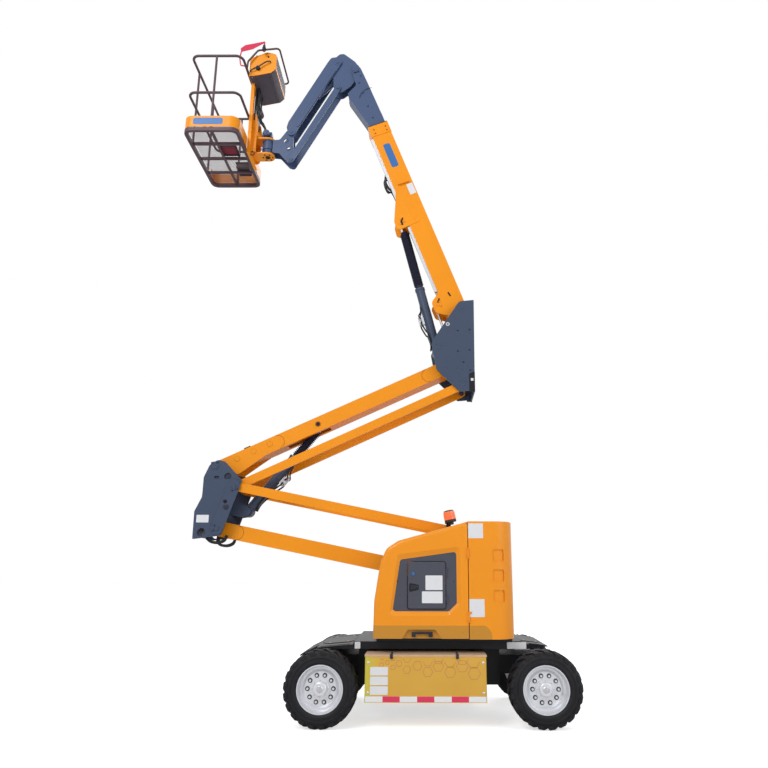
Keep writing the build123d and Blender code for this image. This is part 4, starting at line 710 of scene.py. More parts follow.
glow = Finish("beacon_lens")
ribs = glow.node("TexWave", {"Vector": glow.place(), "Scale": 45.0}, bands_direction="Z")
glow.shader({"Base Color": glow.mix(ribs, (0.9, 0.1, 0.02), (0.92, 0.24, 0.07)),
             "Roughness": 0.2, "Coat Weight": 0.6, "Emission Color": (0.6, 0.1, 0.02),
             "Emission Strength": 0.35, "Normal": glow.bump(ribs, 0.25, 0.002)})
paint["beacon_lens"] = glow.data
lamp_low, lamp_high = corners("beacon")
LEAN = np.array((-0.2, 0.0, 0.98))
seat = np.array(((lamp_low[0] + lamp_high[0]) / 2 + 0.03, lamp_low[1] + 0.012,
                 lamp_low[2] - 0.004))
LENS = mm(36, 50, 36, 60, 40, 63.5, 62, 64.5, 64, 62.5, 70, 64.5, 94, 64, 96, 62, 102, 63.5, 120,
          62, 126, 56, 126, 20)
FOOT = mm(-16, 30, 10, 30, 10, 60, 14, 63, 36, 63, 38, 60, 38, 10)
CROWN = mm(124, 10, 124, 54, 132, 55, 138, 48, 141, 30, 142, 1)
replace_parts(painted("beacon_lamp", [turned(LENS, seat, LEAN, 48)], "beacon_lens", "turntable"),
            "beacon")
painted("beacon_base", [turned(profile, seat, LEAN, 48) for profile in (FOOT, CROWN)],
        "battery_case", "turntable")

for subpart in frame["record"]["subparts"]:
    for held in frame["nodes"][subpart["node"]].material_slots:
        held.material = paint[subpart["material_slot"]]


# ---- plates, screws, gaskets and the door's latch ---------------------------------------------
# Blank plates stand where the machine has labels; every moulding is held by button-headed screws
# and meets its neighbour on a black gasket. The door has a sunk latch and a blue key cap.
BUTTON = screw(0.007, 0.0035)
MOULDING_Y, SEAM_AT = tail_high[1], tail_low[0] - pivot["slew"][0]
SKIN_Y, FRAME_Y, PANEL_Y = 0.8, 0.778, 0.792           # faces of the mouldings, side frame and door
for side, which in SIDES:
    blank(which + "_deck_plates",
          [plate(x0, x1, under + 0.005, deck_top - 0.005, deck_high[1], side, side_x)
           for x0, x1 in ((0.021, 0.077), (1.545, 1.737))], "root")
blue_plate = enamel("blank_blue_plate", (0.045, 0.16, 0.42), 0.3, 0.03)
GASKET = (tail_low[0] - 0.0065, tail_low[0] - 0.0015)
for side, which in SIDES:
    hood_body, wall = which + "_hood_body", MOULDING_Y - 0.018
    feet = [mm(-206, 822, -164, 822, -172, 868, -206, 868),
            mm(-42, 822, 0, 822, 0, 868, -34, 868)]
    handle = [side_view.slab(oblong(-0.206, 0.0, 0.85, 0.87), side * (wall - 0.016),
                             side * (wall + 0.003), 0.008, 0.003)]
    handle += [side_view.slab(foot, side * (wall - 0.0125), side * (wall - 0.002), 0.006, 0.002)
               for foot in feet]
    painted(which + "_hood_handle", handle, "rest_rubber", hood_body, 40.0)
    painted(which + "_seam_gasket", [sided(*GASKET, 0.77, 0.7975, 0.815, 1.925, side),
                                     sided(*GASKET, 0.33, 0.775, 1.915, 1.9345, side)],
            "rest_rubber", "turntable")
    blank(which + "_tail_plates", [plate(SEAM_AT + 0.014, SEAM_AT + 0.164, z0, z1, SKIN_Y, side)
                                   for z0, z1 in ((1.77, 1.918), (1.01, 1.18))], "turntable")
    tail_spots = [(SEAM_AT + 0.05, z) for z in (0.87, 1.25, 1.5, 1.74)]
    tail_spots += [(SEAM_AT + 0.22, z) for z in (0.87, 1.9)]
    painted(which + "_tail_screws", bolts(tail_spots, SKIN_Y, side, profile=BUTTON, count=16),
            "orange_moulding", "turntable")
    hood_spots = [(SEAM_AT - 0.05, z) for z in (0.87, 1.3, 1.74, 1.88)]
    hood_spots += mm(-530, 870, -530, 1120, -440, 1550)
    painted(which + "_hood_screws", bolts(hood_spots, SKIN_Y, side, profile=BUTTON, count=16),
            "orange_moulding", hood_body)
    frame_spots = [(x, z) for x in (-0.375, -0.08, 0.2) for z in (1.082, 1.612)]
    frame_spots = frame_spots[1 if side < 0 else 0:] + [(-0.352, 1.35), (0.212, 1.35)]
    painted(which + "_panel_bolts", bolts(frame_spots, FRAME_Y, side, profile=BUTTON, count=16),
            "rest_rubber", hood_body)
cup = mm(-230, 1247, -230, 1331, -137, 1312, -137, 1266)
paddle = mm(-222, 1262, -222, 1316, -160, 1306, -160, 1272)
LOCK = mm(0, 8.5, 6, 8.5, 7.2, 7, 7.2, 0.5)
KEY_CAP = mm(-0.5, 17, 6, 16, 9, 12, 9.5, 0.6)
painted("door_latch", [side_view.slab(cup, -0.7818, -0.7832, 0.012, 0.0005),
                       side_view.slab(paddle, -0.783, -0.7905, 0.01, 0.003),
                       side_view.knob(-0.148, 1.289, -0.7825, -1, LOCK)],
        "rest_rubber", "control_door_body", 40.0)
blank("door_key_cap", [side_view.knob(-0.192, 1.42, -PANEL_Y, -1, KEY_CAP)], "control_door_body",
      blue_plate)
blank("door_plates", [plate(-0.07, 0.1, 1.265, 1.405, PANEL_Y, -1),
                      plate(-0.105, 0.1, 1.14, 1.252, PANEL_Y, -1)], "control_door_body")


# ---- pins of the riser, turret, boom and jib --------------------------------------------------
# Most pivot pins have a turned cap with a centre mark, a keeper plate beside it and two bolts; the
# small ones have a cap alone. A keeper stands beside its pin in the direction given, in degrees.
def pin(line, s, n, y, side, r, towards, proud=1.0):
    """Cap of a pin on the face at y of one side and, with a direction, its keeper and bolts."""
    cap = [(0, r), (0.004, r), (0.0055, r - 0.002), (0.0055, 0.009), (0.0035, 0.006),
           (0.0035, 0.0005)]
    shapes = [line.knob(s, n, side * (y - 0.0005), side, [(h * proud, width) for h, width in cap])]
    if towards is None:
        return shapes
    away, half, deep = r * 0.93, 0.04, 0.022
    keeper = swung(oblong(away, away + deep, -half, half), s, n, towards)
    shapes.append(line.slab(keeper, side * (y - 0.0005), side * (y + 0.0045 * proud), 0.007,
                            0.001 * proud))
    middle = away + deep / 2
    spots = swung([(middle, -0.027), (middle, 0.027)], s, n, towards)
    return shapes + bolts(spots, y + 0.0042 * proud, side, line,
                          [(h * proud, width) for h, width in BOLT_HEAD])


def member(joint, end):
    """The line from one joint to another, and the distance between them."""
    gap = pivot[end] - pivot[joint]
    return Line(pivot[joint], gap), math.hypot(gap[0], gap[2])


lower, ARM = member("riser_lift", "knuckle_level")
upper, _ = member("upper_arm_swing", "turret_level")
boom = Line(pivot["boom_lift"], JOINT["telescope"]["axis"])
jib = member("jib_lift", "foot_level")[0]
here = {name: (p[0] - pivot["slew"][0], p[2]) for name, p in pivot.items()}
for link, foot, first, second in (
        ("turret_link", "turret_level", "upper_link_swing", "upper_arm_swing"),
        ("foot_link", "foot_level", "jib_link_swing", "jib_lift")):
    here[link] = np.add(here[foot], np.subtract(here[first], here[second]))
ARM_ROD_AT = 1.22
here.update(rod_pin=(1.353, 0.262), level_pin=(0.158, 0.229), arm_rod=(ARM_ROD_AT, 0.0))
STRAP_Y, KNUCKLE_Y, TURRET_Y, EAR_Y, ARM_Y = 0.297, 0.286, 0.238, 0.115, 0.128
HEAD_Y, JIB_PIN_Y = 0.1, 0.096
TURRET_PROUD = 0.28         # the lower links pass 4 mm from the turret, so its pins stand lower
# of each piece its body, paint, slot and line; of each pin its place, face, radius and direction
for name, body, kind, slot, line, pins in (
        ("knuckle", "knuckle_body", "slate_paint", "slate_paint", side_view,
         (("knuckle_level", STRAP_Y, 0.027, 169), ("upper_link_swing", STRAP_Y, 0.027, -70),
          ("upper_arm_swing", KNUCKLE_Y, 0.03, 100))),
        ("turret", "turret_body", "slate_paint", "slate_paint", side_view,
         (("boom_lift", TURRET_Y, 0.03, -75), ("lift_cylinder_swing", TURRET_Y, 0.026, 75),
          ("turret_level", TURRET_Y, 0.03, 25), ("turret_link", TURRET_Y, 0.026, 90),
          ("level_cylinder_swing", TURRET_Y, 0.024, 75))),
        ("boom_rod", "boom", "orange_paint", "orange_paint", boom,
         (("rod_pin", EAR_Y, 0.026, -60), ("level_pin", EAR_Y, 0.022, -90))),
        ("boom_head", "boom_extension", "slate_paint", "orange_paint", side_view,
         (("head_level", HEAD_Y, 0.026, -70),)),
        ("head", "head_body", "slate_paint", "slate_paint", side_view,
         (("jib_lift", JIB_PIN_Y, 0.022, None), ("jib_link_swing", JIB_PIN_Y, 0.022, None))),
        ("foot", "foot_body", "slate_paint", "slate_paint", side_view,
         (("foot_level", JIB_PIN_Y, 0.022, None), ("foot_link", JIB_PIN_Y, 0.022, None))),
        ("upper_arm_rod", "upper_arm_body", "black_paint", "black_paint", upper,
         (("arm_rod", ARM_Y, 0.024, None),))):
    proud, shapes = TURRET_PROUD if name == "turret" else 1.0, []
    for place, y, r, towards in pins:
        for side in (-1, 1):
            shapes += pin(line, *here[place], y, side, r, towards, proud)
    piece(name + "_pins", shapes, paint[kind], body)


# ---- boots and glands of the two long cylinders -----------------------------------------------
# Both rods wear a pleated black sleeve, gripped by a bright gland on the barrel.
boot_rubber = rubber("boot_rubber", (0.018, 0.02, 0.044), 0.6, 300.0, 0.15, 0.05)
GLAND = mm(0, 40, 0, 58.5, 3, 60, 12, 60, 15, 58.5, 15, 40)
for name, s0, s1, outer, folds, keep in (("riser", 0.806, 1.205, 0.056, 17, 0.35),
                                         ("lift", 0.885, 1.66, 0.059, 32, 0.2)):
    joint, start, body = name + "_rod_slide", pivot[name + "_cylinder_swing"], name + "_barrel_body"
    axis = np.array(JOINT[joint]["axis"])
    boot = piece(name + "_boot", [bellows(start, axis, s0, s1, outer - 0.016, outer, folds)],
                 boot_rubber, body, 60.0)
    tuple(start + s0 * axis)
    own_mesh(boot)
    bright(name + "_gland", [turned(GLAND, start + (s0 - 0.034) * axis, axis)], body)


# ---- valve blocks and their hoses -------------------------------------------------------------
# A bright manifold stands on each long cylinder's barrel, with nuts on both cheeks and two plugs at
# its end. Hoses loop from the nuts down to the base of the barrel and up over its gland.
riser = Line(pivot["riser_cylinder_swing"], JOINT["riser_rod_slide"]["axis"])
lift = Line(pivot["lift_cylinder_swing"], JOINT["lift_rod_slide"]["axis"])
HEX_NUT = mm(0, 12, 14, 12, 15.5, 10, 30, 10, 30, 1)
PLUG = mm(0, 9, 28, 9, 28, 13, 40, 13, 42, 1)
for name, line in (("riser", riser), ("lift", lift)):
    low, high = corners(name + "_valve")
    middle = (low + high) / 2 - line.start
    s, n = middle[0] * line.c + middle[2] * line.d, middle[2] * line.c - middle[0] * line.d
    out = math.copysign(1.0, n)
    fittings = [line.slab(oblong(s - 0.03, s + 0.03, n, n + out * 0.03), -0.034, 0.034, 0.004)]
    fittings += [turned(HEX_NUT, line.at(s + v, n + out * 0.004, side * 0.033), (0, side, 0), 6)
                 for v in (-0.018, 0.018) for side in (-1, 1)]
    fittings += [turned(PLUG, line.at(s + 0.034, n + out * 0.01, y), line.axis, 12)
                 for y in (-0.016, 0.016)]
    painted(name + "_valve_fittings", fittings, "bare_aluminium", name + "_barrel_body")
    runs = []
    for side in (-1, 1):
        down = ((s - 0.018, n + out * 0.004, 0.058), (s - 0.05, n + out * 0.012, 0.082),
                (s - 0.16, n * 0.8, 0.078), (0.26, n * 0.62, 0.07), (0.14, n * 0.55, 0.046),
                (0.06, n * 0.8, 0.02))
        over = ((s + 0.018, n + out * 0.004, 0.058), (s + 0.055, n + out * 0.02, 0.078),
                (s + 0.1, n * 0.86, 0.06), (s + 0.15, n * 0.66, 0.035),
                (s + 0.2, out * 0.052, 0.012))
        runs += [tube([line.at(u, v, side * y) for u, v, y in path], radius)
                 for path, radius in ((down, 0.0095), (over, 0.0085))]
    hoses(name + "_valve_hoses", runs, name + "_barrel_body")


# ---- knuckle and arms -------------------------------------------------------------------------
# Six hoses hang below the knuckle. Thin beads in a darker paint run round its straps, the arms'
# end shoes and the plugs of the upper arm, as painted shade along their feet; dark plates behind
# the knuckle's slot and hole are painted shade inside them.
k = here["knuckle_level"]
bundle = []
for i, y in enumerate((-0.215, -0.185, -0.16, 0.16, 0.185, 0.215)):
    path = ((-0.15 + 0.012 * i, -0.05), (-0.115, -0.118 - 0.006 * i), (-0.02, -0.142 - 0.007 * i),
            (0.06, -0.12 - 0.006 * i), (0.09, -0.07))
    bundle.append(run(side_view, np.add(path, k), y, 0.009))
hoses("knuckle_hoses", bundle, "knuckle_body")
low, high = corners("knuckle")
corner_x = low[0] - pivot["slew"][0]
blank("knuckle_plates", [plate(corner_x + 0.03, corner_x + 0.165, 1.958, 2.04, KNUCKLE_Y, side)
                         for side in (-1, 1)], "knuckle_body")

# darker copies of the slate and orange paints: painted shade for dark lines along seams and plate
# feet, round plugs, and on small bolt heads
slate_shade = enamel("slate_seam", [c * 0.45 for c in SLATE], 0.5)
orange_seam = enamel("orange_seam", [c * 0.5 for c in ORANGE], 0.5)
low_pins = (here["knuckle_level"], here["upper_link_swing"])
centre = (np.array(low_pins[0]) + low_pins[1]) / 2 + (0.01, 0.0)
BUSH = mm(0, 26, 4, 26, 6, 22, 6, 12, 3, 10, 3, 0.5)
BUSH_RING = mm(0, 32, 1.5, 32, 1.5, 26)
# dark beads round the straps and a dark cap on the bush between the lower pins: painted shade
shade_beads = [bead(side_view, capsule(*low_pins, 0.066), 0.2905, side) for side in (-1, 1)]
shade_beads += both_bolts([centre], 0.2935, profile=BUSH, count=28)
piece("knuckle_welds", shade_beads, slate_shade, "knuckle_body")
# dark plates behind the slot and the hole: painted shade seen through them
slot_back = oblong(k[0] - 0.092, k[0] + 0.002, k[1] + 0.526, k[1] + 0.594)
HOLE_BACK = mm(0, 47, 5, 46, 5, 0.5)
slot_shade_plates = [side_view.slab(slot_back, side * 0.2625, side * 0.2675, 0.006, 0.001)
           for side in (-1, 1)]
slot_shade_plates += [side_view.knob(k[0] + 0.079, k[1] + 0.569, side * 0.2675, -side, HOLE_BACK)
            for side in (-1, 1)]
piece("knuckle_backing", slot_shade_plates, slate_shade, "knuckle_body")
piece("knuckle_rings", both_bolts([centre], 0.2945, profile=BUSH_RING, count=28),
      paint["battery_case"], "knuckle_body")

SHOE_Y, SHOE_HALF, SHOE_BOW = 0.1285, 0.079, 0.075
t = np.linspace(-1.0, 1.0, 15)
bow = np.sqrt(np.maximum(1 - t ** 2, 0))
# the arms' beads by the end shoes and round the plugs are in the darker orange: painted shade along
# their feet
for name, line, ends in (("lower_arm", lower, ((ARM - 0.185, -1),)),
                         ("upper_arm", upper, ((0.72, 1), (ARM - 0.2, -1)))):
    marks = []
    for side in (-1, 1):
        for s, flip in ends:
            arc = np.stack([s + flip * SHOE_BOW * bow, SHOE_HALF * t], 1)
            marks.append(run(line, arc, side * SHOE_Y, 0.0028, steps=2, n=8))
        if name == "upper_arm":
            marks += [bead(line, np.add(circle(0.031, 20), plug), SHOE_Y, side, 0.002)
                      for plug in mm(225, 12, 426, 14, 626, 18)]
    piece(name + "_welds", marks, orange_seam, name + "_body")
# the plug's ring is in the darker orange too: painted shade round the plug
ARM_RING = mm(0, 34, 2, 34, 2, 24)
piece("upper_arm_plug", both_bolts([(ARM_ROD_AT, 0.0)], ARM_Y, upper, ARM_RING, 28), orange_seam,
      "upper_arm_body")


# ---- turret -----------------------------------------------------------------------------------
# Side plates carry small bolts round the boom pivot, and near the rear edge a black stop with a
# small blank plate.
t = here["boom_lift"]
small = np.add(mm(-42, -311, 99, -300, -43, -565, 94, -551, -158, -231, 20, -700, 100, -800), t)
# small bolt heads in the darker slate: painted shade on the bolt heads
piece("turret_bolts", both_bolts(small, TURRET_Y), slate_shade, "turret_body")
TURRET_RING = mm(0, 23, 1.2, 23, 1.2, 0.5)
bright("turret_ring", both_bolts(small[4:5], TURRET_Y, profile=TURRET_RING, count=28),
       "turret_body")
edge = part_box("turret")[1][0] - pivot["slew"][0]
stop = np.add(mm(-70, -1062, -4, -1062, -4, -815, -70, -845), (edge, t[1]))
STOP_Y = TURRET_Y + 0.0055
painted("turret_stops", [side_view.slab(stop, side * (TURRET_Y - 0.0005), side * STOP_Y, 0.008,
                                        0.002) for side in (-1, 1)], "black_paint", "turret_body")
blank("turret_plates", [plate(edge - 0.052, edge - 0.022, t[1] - 0.93, t[1] - 0.9, STOP_Y, side,
                              corner=0.003) for side in (-1, 1)], "turret_body")


# ---- boom -------------------------------------------------------------------------------------
# The outer section has a doubled mouth with wear-pad bolts, a band that grips the hose run, blank
# plates, and two keepers like keyholes beside the pivot. Inner and outer section stay smooth.
BOOM_Y, COLLAR_Y = 0.11, 0.116
ROD_KEEPER = mm(1315, 238, 1353, 238, 1405, 206, 1412, 220, 1365, 262, 1315, 262)
keepers, pad_bolts = [], []
for side in (-1, 1):
    for place in ((0.183, 0.221, -40.0), (0.207, 0.044, 10.0)):
        keepers.append(boom.slab(swung(oblong(0.0, 0.06, -0.009, 0.009), *place),
                                 side * (BOOM_Y - 0.0005), side * (BOOM_Y + 0.0105), 0.007, 0.002))
    pad_bolts += bolts(mm(2675, 115, 2735, 115, 2675, -45, 2735, -45), COLLAR_Y, side, boom)
    keepers.append(boom.slab(ROD_KEEPER, side * 0.1145, side * 0.1215, 0.006, 0.002))
painted("boom_keepers", keepers, "black_paint", "boom")
# wear-pad bolt heads in the darker orange: painted shade on the bolt heads
piece("boom_bolts", pad_bolts, orange_seam, "boom")
blank("boom_plates", [plate(1.68, 1.835, -0.076, 0.006, BOOM_Y, side, boom) for side in (-1, 1)],
      "boom")
blank("boom_blue_plates", [plate(2.125, 2.485, -0.008, 0.086, BOOM_Y, side, boom, corner=0.03)
                           for side in (-1, 1)], "boom", blue_plate)
painted("boom_wiper", [boom.slab(oblong(2.793, 2.805, -0.09, 0.172), side * 0.1035, side * 0.1165,
                                 0.0, 0.001) for side in (-1, 1)], "rest_rubber", "boom")
loops = []
for i, y in enumerate((-0.052, -0.028, 0.028, 0.052)):
    path = ((2.14 - 0.02 * i, 0.174), (2.07, 0.2 + 0.008 * i), (1.98, 0.226 + 0.006 * i),
            (1.9, 0.216 + 0.006 * i), (1.82 + 0.02 * i, 0.19), (1.7, 0.178), (1.52, 0.176))
    loops.append(run(boom, path, y, 0.01))
hoses("boom_hose_loop", loops, "boom")


# ---- jib and its head -------------------------------------------------------------------------
# From the inner boom outwards the steel is a shade bluer than the turret's. Small bolts run along
# the boom's nose and the jib, and four hoses lie in a sagging run under the jib.
jib_slate = enamel("jib_slate", np.multiply(SLATE, (1.18, 1.31, 1.53)).tolist(), 0.38)
for name in ("boom_inner", "head", "jib_arm", "jib_link", "jib_foot", "jib_barrel"):
    for held in frame["nodes"][name].material_slots:
        held.material = jib_slate
for name in ("boom_head_pins", "head_pins", "foot_pins"):
    bpy.data.objects[name].material_slots[0].material = jib_slate
nose_spots = mm(2930, 60, 3120, 60, 3340, 50, 3500, 45, 3600, -10)
piece("nose_bolts", both_bolts(nose_spots, HEAD_Y, boom), jib_slate, "boom_extension")
NOSE_SEAM = mm(3360, -85, 3370, -20, 3340, 60, 3280, 125)
# a dark bead along the nose's seam: painted shade
piece("nose_welds", [run(boom, NOSE_SEAM, side * 0.1005, 0.003, steps=4, n=8)
                     for side in (-1, 1)], slate_shade, "boom_extension")
jib_spots = mm(187, 10, 320, 10, 550, 10, 950, 10, 1080, 10)
piece("jib_bolts", both_bolts(jib_spots, 0.09, jib), jib_slate, "jib")
JIB_RUN = ((0.14, -0.105, 1.0), (0.3, -0.128, 1.0), (0.6, -0.118, 1.1), (0.9, -0.12, 1.0),
           (1.08, -0.115, 1.0))
hoses("jib_hoses", [tube([jib.at(s, n, y * spread) for s, n, spread in JIB_RUN], 0.009)
                    for y in (-0.045, -0.015, 0.015, 0.045)], "jib")


# ---- platform ---------------------------------------------------------------------------------
# The floor is a ring of rolled tube with three cross bars, covered by real expanded metal: zigzag
# strands that touch at their knuckles. The toe boards carry a blank blue plate.
floor_low, floor_high = corners("platform_floor")
edge_x, bar_top = floor_high[0], floor_high[2]
middle_x, reach_x, reach_y = (floor_low[0] + edge_x) / 2, (edge_x - floor_low[0]) / 2, floor_high[1]
TUBE_W, TUBE_H, RING_CORNER = 0.04, bar_top - floor_low[2], 0.11


def ring(grow, z):
    """The platform's rounded outline, moved outwards by a distance, at a height."""
    x, y = reach_x + grow, reach_y + grow
    o = bent(oblong(-x, x, -y, y), RING_CORNER + grow, 9) + (middle_x, 0)
    return np.column_stack([o, np.full(len(o), z)])


section = [(-0.006, 0), (-TUBE_W + 0.006, 0), (-TUBE_W, 0.006), (-TUBE_W, TUBE_H - 0.009),
           (-TUBE_W + 0.006, TUBE_H - 0.003), (-0.006, TUBE_H - 0.003), (0, TUBE_H - 0.009),
           (0, 0.006)]
shapes = [torus([ring(grow, floor_low[2] + z) for grow, z in section])]
shapes += [box((floor_low[0] + 0.03, y - 0.015, floor_low[2] + 0.022),
               (edge_x - 0.03, y + 0.015, bar_top - 0.004))
           for y in (-reach_y / 2, 0.0, reach_y / 2)]
shapes.append(box((middle_x - 0.015, -reach_y + 0.03, floor_low[2] + 0.026),
                  (middle_x + 0.015, reach_y - 0.03, bar_top - 0.0045)))
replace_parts(painted("floor_frame", shapes, "rail_paint", "platform"), "platform_floor")

LONG, SHORT, STRAND, SHEET, MARGIN = 0.034, 0.013, 0.0026, 0.003, 0.036    # diamonds, strands
rows = int((2 * reach_y - 0.075) / SHORT)
halves = int((2 * reach_x - 0.07) / (LONG / 2))
x = middle_x + (np.arange(halves + 1) - halves / 2) * LONG / 2
corner = [(-STRAND / 2, -SHEET), (STRAND / 2, -SHEET), (STRAND / 2, 0), (-STRAND / 2, 0)]
strands = []
for row in range(rows):
    zigzag = np.where((np.arange(halves + 1) + row) % 2, 0.5, -0.5)
    y = (row - (rows - 1) / 2) * SHORT + (SHORT / 2 - STRAND * 0.4) * zigzag
    past_x = np.maximum(np.abs(x - middle_x) - reach_x + RING_CORNER, 0)
    past_y = np.maximum(np.abs(y) - reach_y + RING_CORNER, 0)
    keep = (np.abs(y) < reach_y - MARGIN) & (np.hypot(past_x, past_y) < RING_CORNER - 0.034)
    px, py = x[keep], y[keep]
    if len(px) > 1:
        strands.append(loft(np.stack([np.column_stack([px, py + a, np.full(len(px), bar_top + b)])
                                      for a, b in corner], 1)))
painted("floor_mesh", strands, "rail_paint", "platform", 20.0)

toe_low, toe_high = corners("toe_board")
blank("toe_blue_plates", [plate(toe_low[0] + 0.125, toe_low[0] + 0.49, toe_low[2] + 0.03,
                                toe_low[2] + 0.122, toe_high[1], side, side_x, corner=0.03)
                          for side in (-1, 1)], "platform", blue_plate)


def on_floor(*rows):
    """Blocks on the platform's floor, from rows of millimetres: x from its middle, y, z from its
    top, and the broken edge."""
    return [box((middle_x + x0, y0, bar_top + z0), (middle_x + x1, y1, bar_top + z1), edge)
            for x0, x1, y0, y1, z0, z1, edge in np.array(rows) / 1000]


painted("foot_switch", on_floor((-20, 0, -230, -20, 1, 22, 4), (190, 210, -230, -20, 1, 22, 4),
                                (0, 200, -232, -210, 1, 60, 6), (0, 200, -40, -18, 1, 60, 6)),
        "black_paint", "platform")
painted("foot_pedal", on_floor((-4, 185, -206, -44, 12, 34, 8)), "red_paint", "platform")
piece("tool_tray", on_floor((80, 250, 240, 450, 1, 75, 14), (70, 260, 230, 460, 70, 86, 6)),
      paint["battery_case"], "platform")


# ---- post and rotator -------------------------------------------------------------------------
# A motor block with its fittings sits on the upper jaw, and four hoses rise from it. Between the
# posts hangs a dark sheet, and two orange gussets flare towards the jaws.
swing = pivot["platform_rotate"]
JAW = 0.1204
jaw_top = swing[2] + JAW
MOTOR = mm(0, 40, 6, 43, 52, 43, 58, 38, 58, 20, 64, 18, 66, 1)
BRAKE = mm(0, 34, 40, 34, 46, 28, 46, 1)
UNION = mm(0, 9, 16, 9, 17, 12, 30, 12, 32, 1)
PIVOT_CAP = mm(0, 32, 6, 32, 10, 26, 10, 10, 6, 8, 6, 0.5)
piece("rotator_motor",
      [box((swing[0] - 0.06, -0.062, jaw_top - 0.0005),
           (swing[0] + 0.062, 0.062, jaw_top + 0.026), 0.008),
       box((swing[0] - 0.085, -0.05, jaw_top + 0.024),
           (swing[0] + 0.045, 0.05, jaw_top + 0.112), 0.01),
       turned(MOTOR, (swing[0] - 0.02, -0.048, jaw_top + 0.066), (0, -1, 0)),
       turned(BRAKE, (swing[0] - 0.02, 0.048, jaw_top + 0.066), (0, 1, 0))],
      jib_slate, "platform")
painted("motor_unions", [turned(UNION, (swing[0] + dx, y, jaw_top + 0.11), (0, 0, 1), 6)
                         for dx in (-0.06, -0.01) for y in (-0.028, 0.028)],
        "bare_aluminium", "platform")
caps = [turned(PIVOT_CAP, (swing[0], 0, swing[2] - JAW), (0, 0, -1), 36)]
caps += [turned(BOLT_HEAD, (swing[0] + x, y, swing[2] - JAW), (0, 0, -1), 6)
         for x, y in circle(0.062, 6)]
painted("rotator_caps", caps, "black_paint", "platform")

post_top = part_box("platform_bracket")[1][2]
rises = []
for i, (y, out) in enumerate(mm(-110, 75, -85, 95, -60, 115, 75, 85)):
    a = (swing[0] - 0.06 + 0.004 * i, -0.028 + 0.056 * (i % 2), jaw_top + 0.135)
    rises.append(tube([a, (a[0] - 0.005, a[1], a[2] + 0.05),
                       (a[0] - 0.055, a[1] + (y - a[1]) * 0.4, a[2] + 0.11 + 0.02 * i),
                       (edge_x + out, y, a[2] + 0.24), (edge_x + 0.075, y, a[2] + 0.42),
                       (edge_x + 0.08, y, post_top + 0.01)], 0.009, (0.3, 1, 0)))
hoses("platform_hoses", rises, "platform")
piece("upright_panel", [box((edge_x + 0.041, -0.135, post_top - 0.5),
                            (edge_x + 0.056, 0.135, post_top - 0.02), 0.004)],
      paint["battery_case"], "platform")
GUSSET_Y, gusset_out = 0.118, swing[0] - 0.135
gusset = [(edge_x + 0.004, floor_low[2] + 0.03), (gusset_out - 0.03, floor_low[2] + 0.03),
          (gusset_out, swing[2] - 0.125), (gusset_out, swing[2] + 0.13),
          (edge_x + 0.11, swing[2] + 0.23), (edge_x + 0.075, swing[2] + 0.44),
          (edge_x + 0.004, swing[2] + 0.47)]
painted("post_gussets", [side_x.slab(gusset, side * GUSSET_Y, side * (GUSSET_Y + 0.006), 0.03)
                         for side in (-1, 1)], "orange_paint", "platform", 40.0)
EYE_R, EYE_THICK, EYE_Y = 0.026, 0.006, -0.15
tie = [[(edge_x + 0.062 + (EYE_R + u) * math.cos(a), EYE_Y + v,
         floor_low[2] + 0.014 + (EYE_R + u) * math.sin(a)) for u, v in circle(EYE_THICK, 10)]
       for a in round_the(28)]
painted("tie_eye", [torus(tie)], "black_paint", "platform")


# ---- console ----------------------------------------------------------------------------------
# The console's open underside is closed by a bolted perforated cover, and its near end has a grab
# handle. Its sloping top carries two joysticks, six switches and a red stop button.
cover_skin = Finish("console_cover")
holes = cover_skin.node("TexVoronoi", {"Vector": cover_skin.place(), "Scale": 30.0,
                                       "Randomness": 0.0})
# the holes are near-black dots: painted shade inside the perforations, dented by a bump
hole_shade = holes < 0.2
sheet = cover_skin.mix(cover_skin.noise(3.0), (0.072, 0.062, 0.084), (0.1, 0.084, 0.104))
cover_skin.shader({"Base Color": cover_skin.mix(hole_shade, sheet, (0.01, 0.01, 0.012)),
                   "Roughness": 0.5 + 0.2 * cover_skin.noise(12.0),
                   "Normal": cover_skin.bump(hole_shade, -0.4, 0.002)})
con_low, con_high = corners("console")
cx, cz, reach = con_low[0], con_low[2], con_high[0] - con_low[0]
folded = [(0.006, -0.001), (0.062, -0.001), (reach - 0.062, 0.046), (reach - 0.014, 0.1),
          (reach - 0.0005, 0.135), (reach - 0.0005, 0.3), (reach + 0.002, 0.3),
          (reach + 0.002, 0.134), (reach - 0.01, 0.096), (reach - 0.06, 0.042), (0.063, -0.004),
          (0.006, -0.004)]
piece("console_cover", [Line((cx, 0, cz)).slab(folded, con_low[1] + 0.01, con_high[1] - 0.01, 0.0,
                                               0.0008)], cover_skin.data, "platform")
screw_y = np.linspace(con_low[1] + 0.03, con_high[1] - 0.03, 6)
cover_screws = [turned(BUTTON, (cx + 0.035, y, cz - 0.0035), (0, 0, -1), 12) for y in screw_y]
cover_screws += [turned(BUTTON, (cx + reach + 0.0018, y, cz + h), (1, 0, 0), 12)
                 for h in (0.155, 0.28) for y in screw_y]
bright("console_screws", cover_screws, "platform")
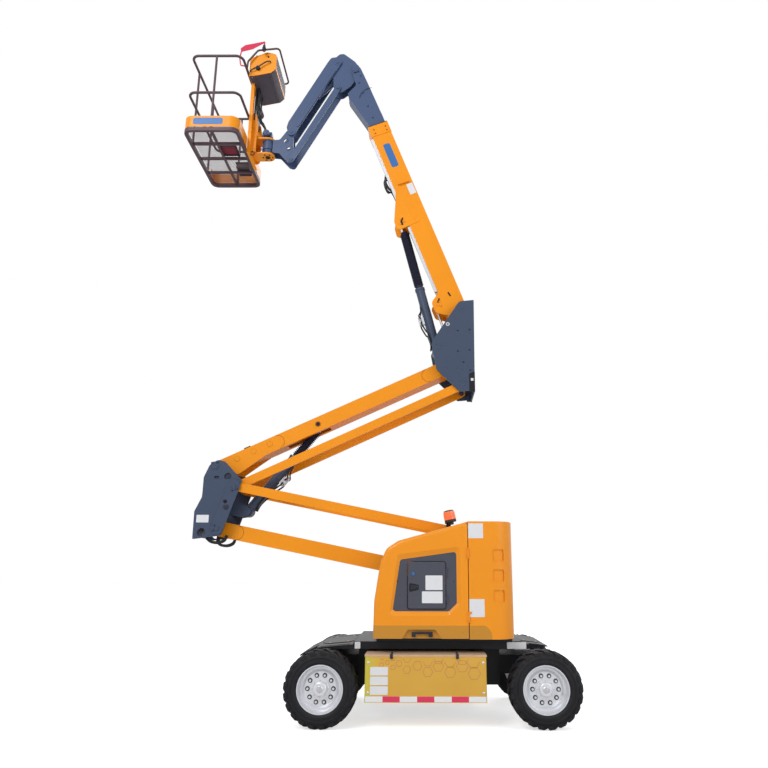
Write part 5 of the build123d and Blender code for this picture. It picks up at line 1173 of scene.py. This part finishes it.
GRAB = ((0.02, -0.001, 0.06), (0.024, -0.02, 0.066), (0.075, -0.03, 0.092), (0.12, -0.03, 0.112),
        (0.15, -0.03, 0.14), (0.215, -0.03, 0.188), (0.262, -0.02, 0.205), (0.266, -0.001, 0.208))
end_y = con_low[1]
painted("console_handle",
        [tube([(cx + u, end_y + v, cz + w) for u, v, w in GRAB], 0.008, (0.2, 0.3, 1)),
         turned(mm(0, 28, 26, 28, 34, 22, 36, 1),
                (cx + 0.112, end_y + 0.0005, cz + 0.108), (0, -1, 0), 24),
         turned(mm(0, 12, 8, 12, 10, 1),
                (cx + 0.235, end_y + 0.0005, cz + 0.29), (0, -1, 0), 16)],
        "rest_rubber", "platform")

top_line = Line((cx, 0, cz + 0.268), (reach - 0.13, 0, 0.094))
upright = (-top_line.d, 0, top_line.c)
JOYSTICK = mm(0, 30, 10, 28, 22, 18, 30, 11, 60, 9, 66, 14, 95, 16, 108, 12, 112, 1)
TOGGLE = mm(0, 8, 6, 8, 8, 4, 20, 3.5, 22, 0.5)
MUSHROOM = mm(0, 14, 12, 14, 14, 22, 22, 22, 27, 16, 28, 1)
controls = [top_line.slab(oblong(0.012, 0.195, 0.0, 0.003), con_low[1] + 0.03, con_high[1] - 0.03,
                          0.0, 0.0008)]
controls += [turned(JOYSTICK, top_line.at(0.1, 0.002, y), upright, 24) for y in (-0.22, 0.14)]
controls += [turned(TOGGLE, top_line.at(0.065, 0.002, y), upright, 12)
             for y in np.linspace(-0.13, 0.05, 6)]
piece("console_controls", controls, paint["battery_case"], "platform")
painted("stop_button", [turned(MUSHROOM, top_line.at(0.15, 0.002, -0.04), upright, 28)],
        "red_paint", "platform")

# the red guard's black hook, clamped on the guard tube
flag_low, flag_high = corners("guard_flag")
HOOK = mm(0, 11, 0, 20, 8, 24, 45, 24, 60, 18, 85, 16, 85, 11)
hook_at = (flag_high[0] - 0.012, (flag_low[1] + flag_high[1]) / 2, flag_high[2] - 0.145)
painted("guard_hook", [turned(HOOK, hook_at, (0, 0, 1), 20)], "rest_rubber", "platform")
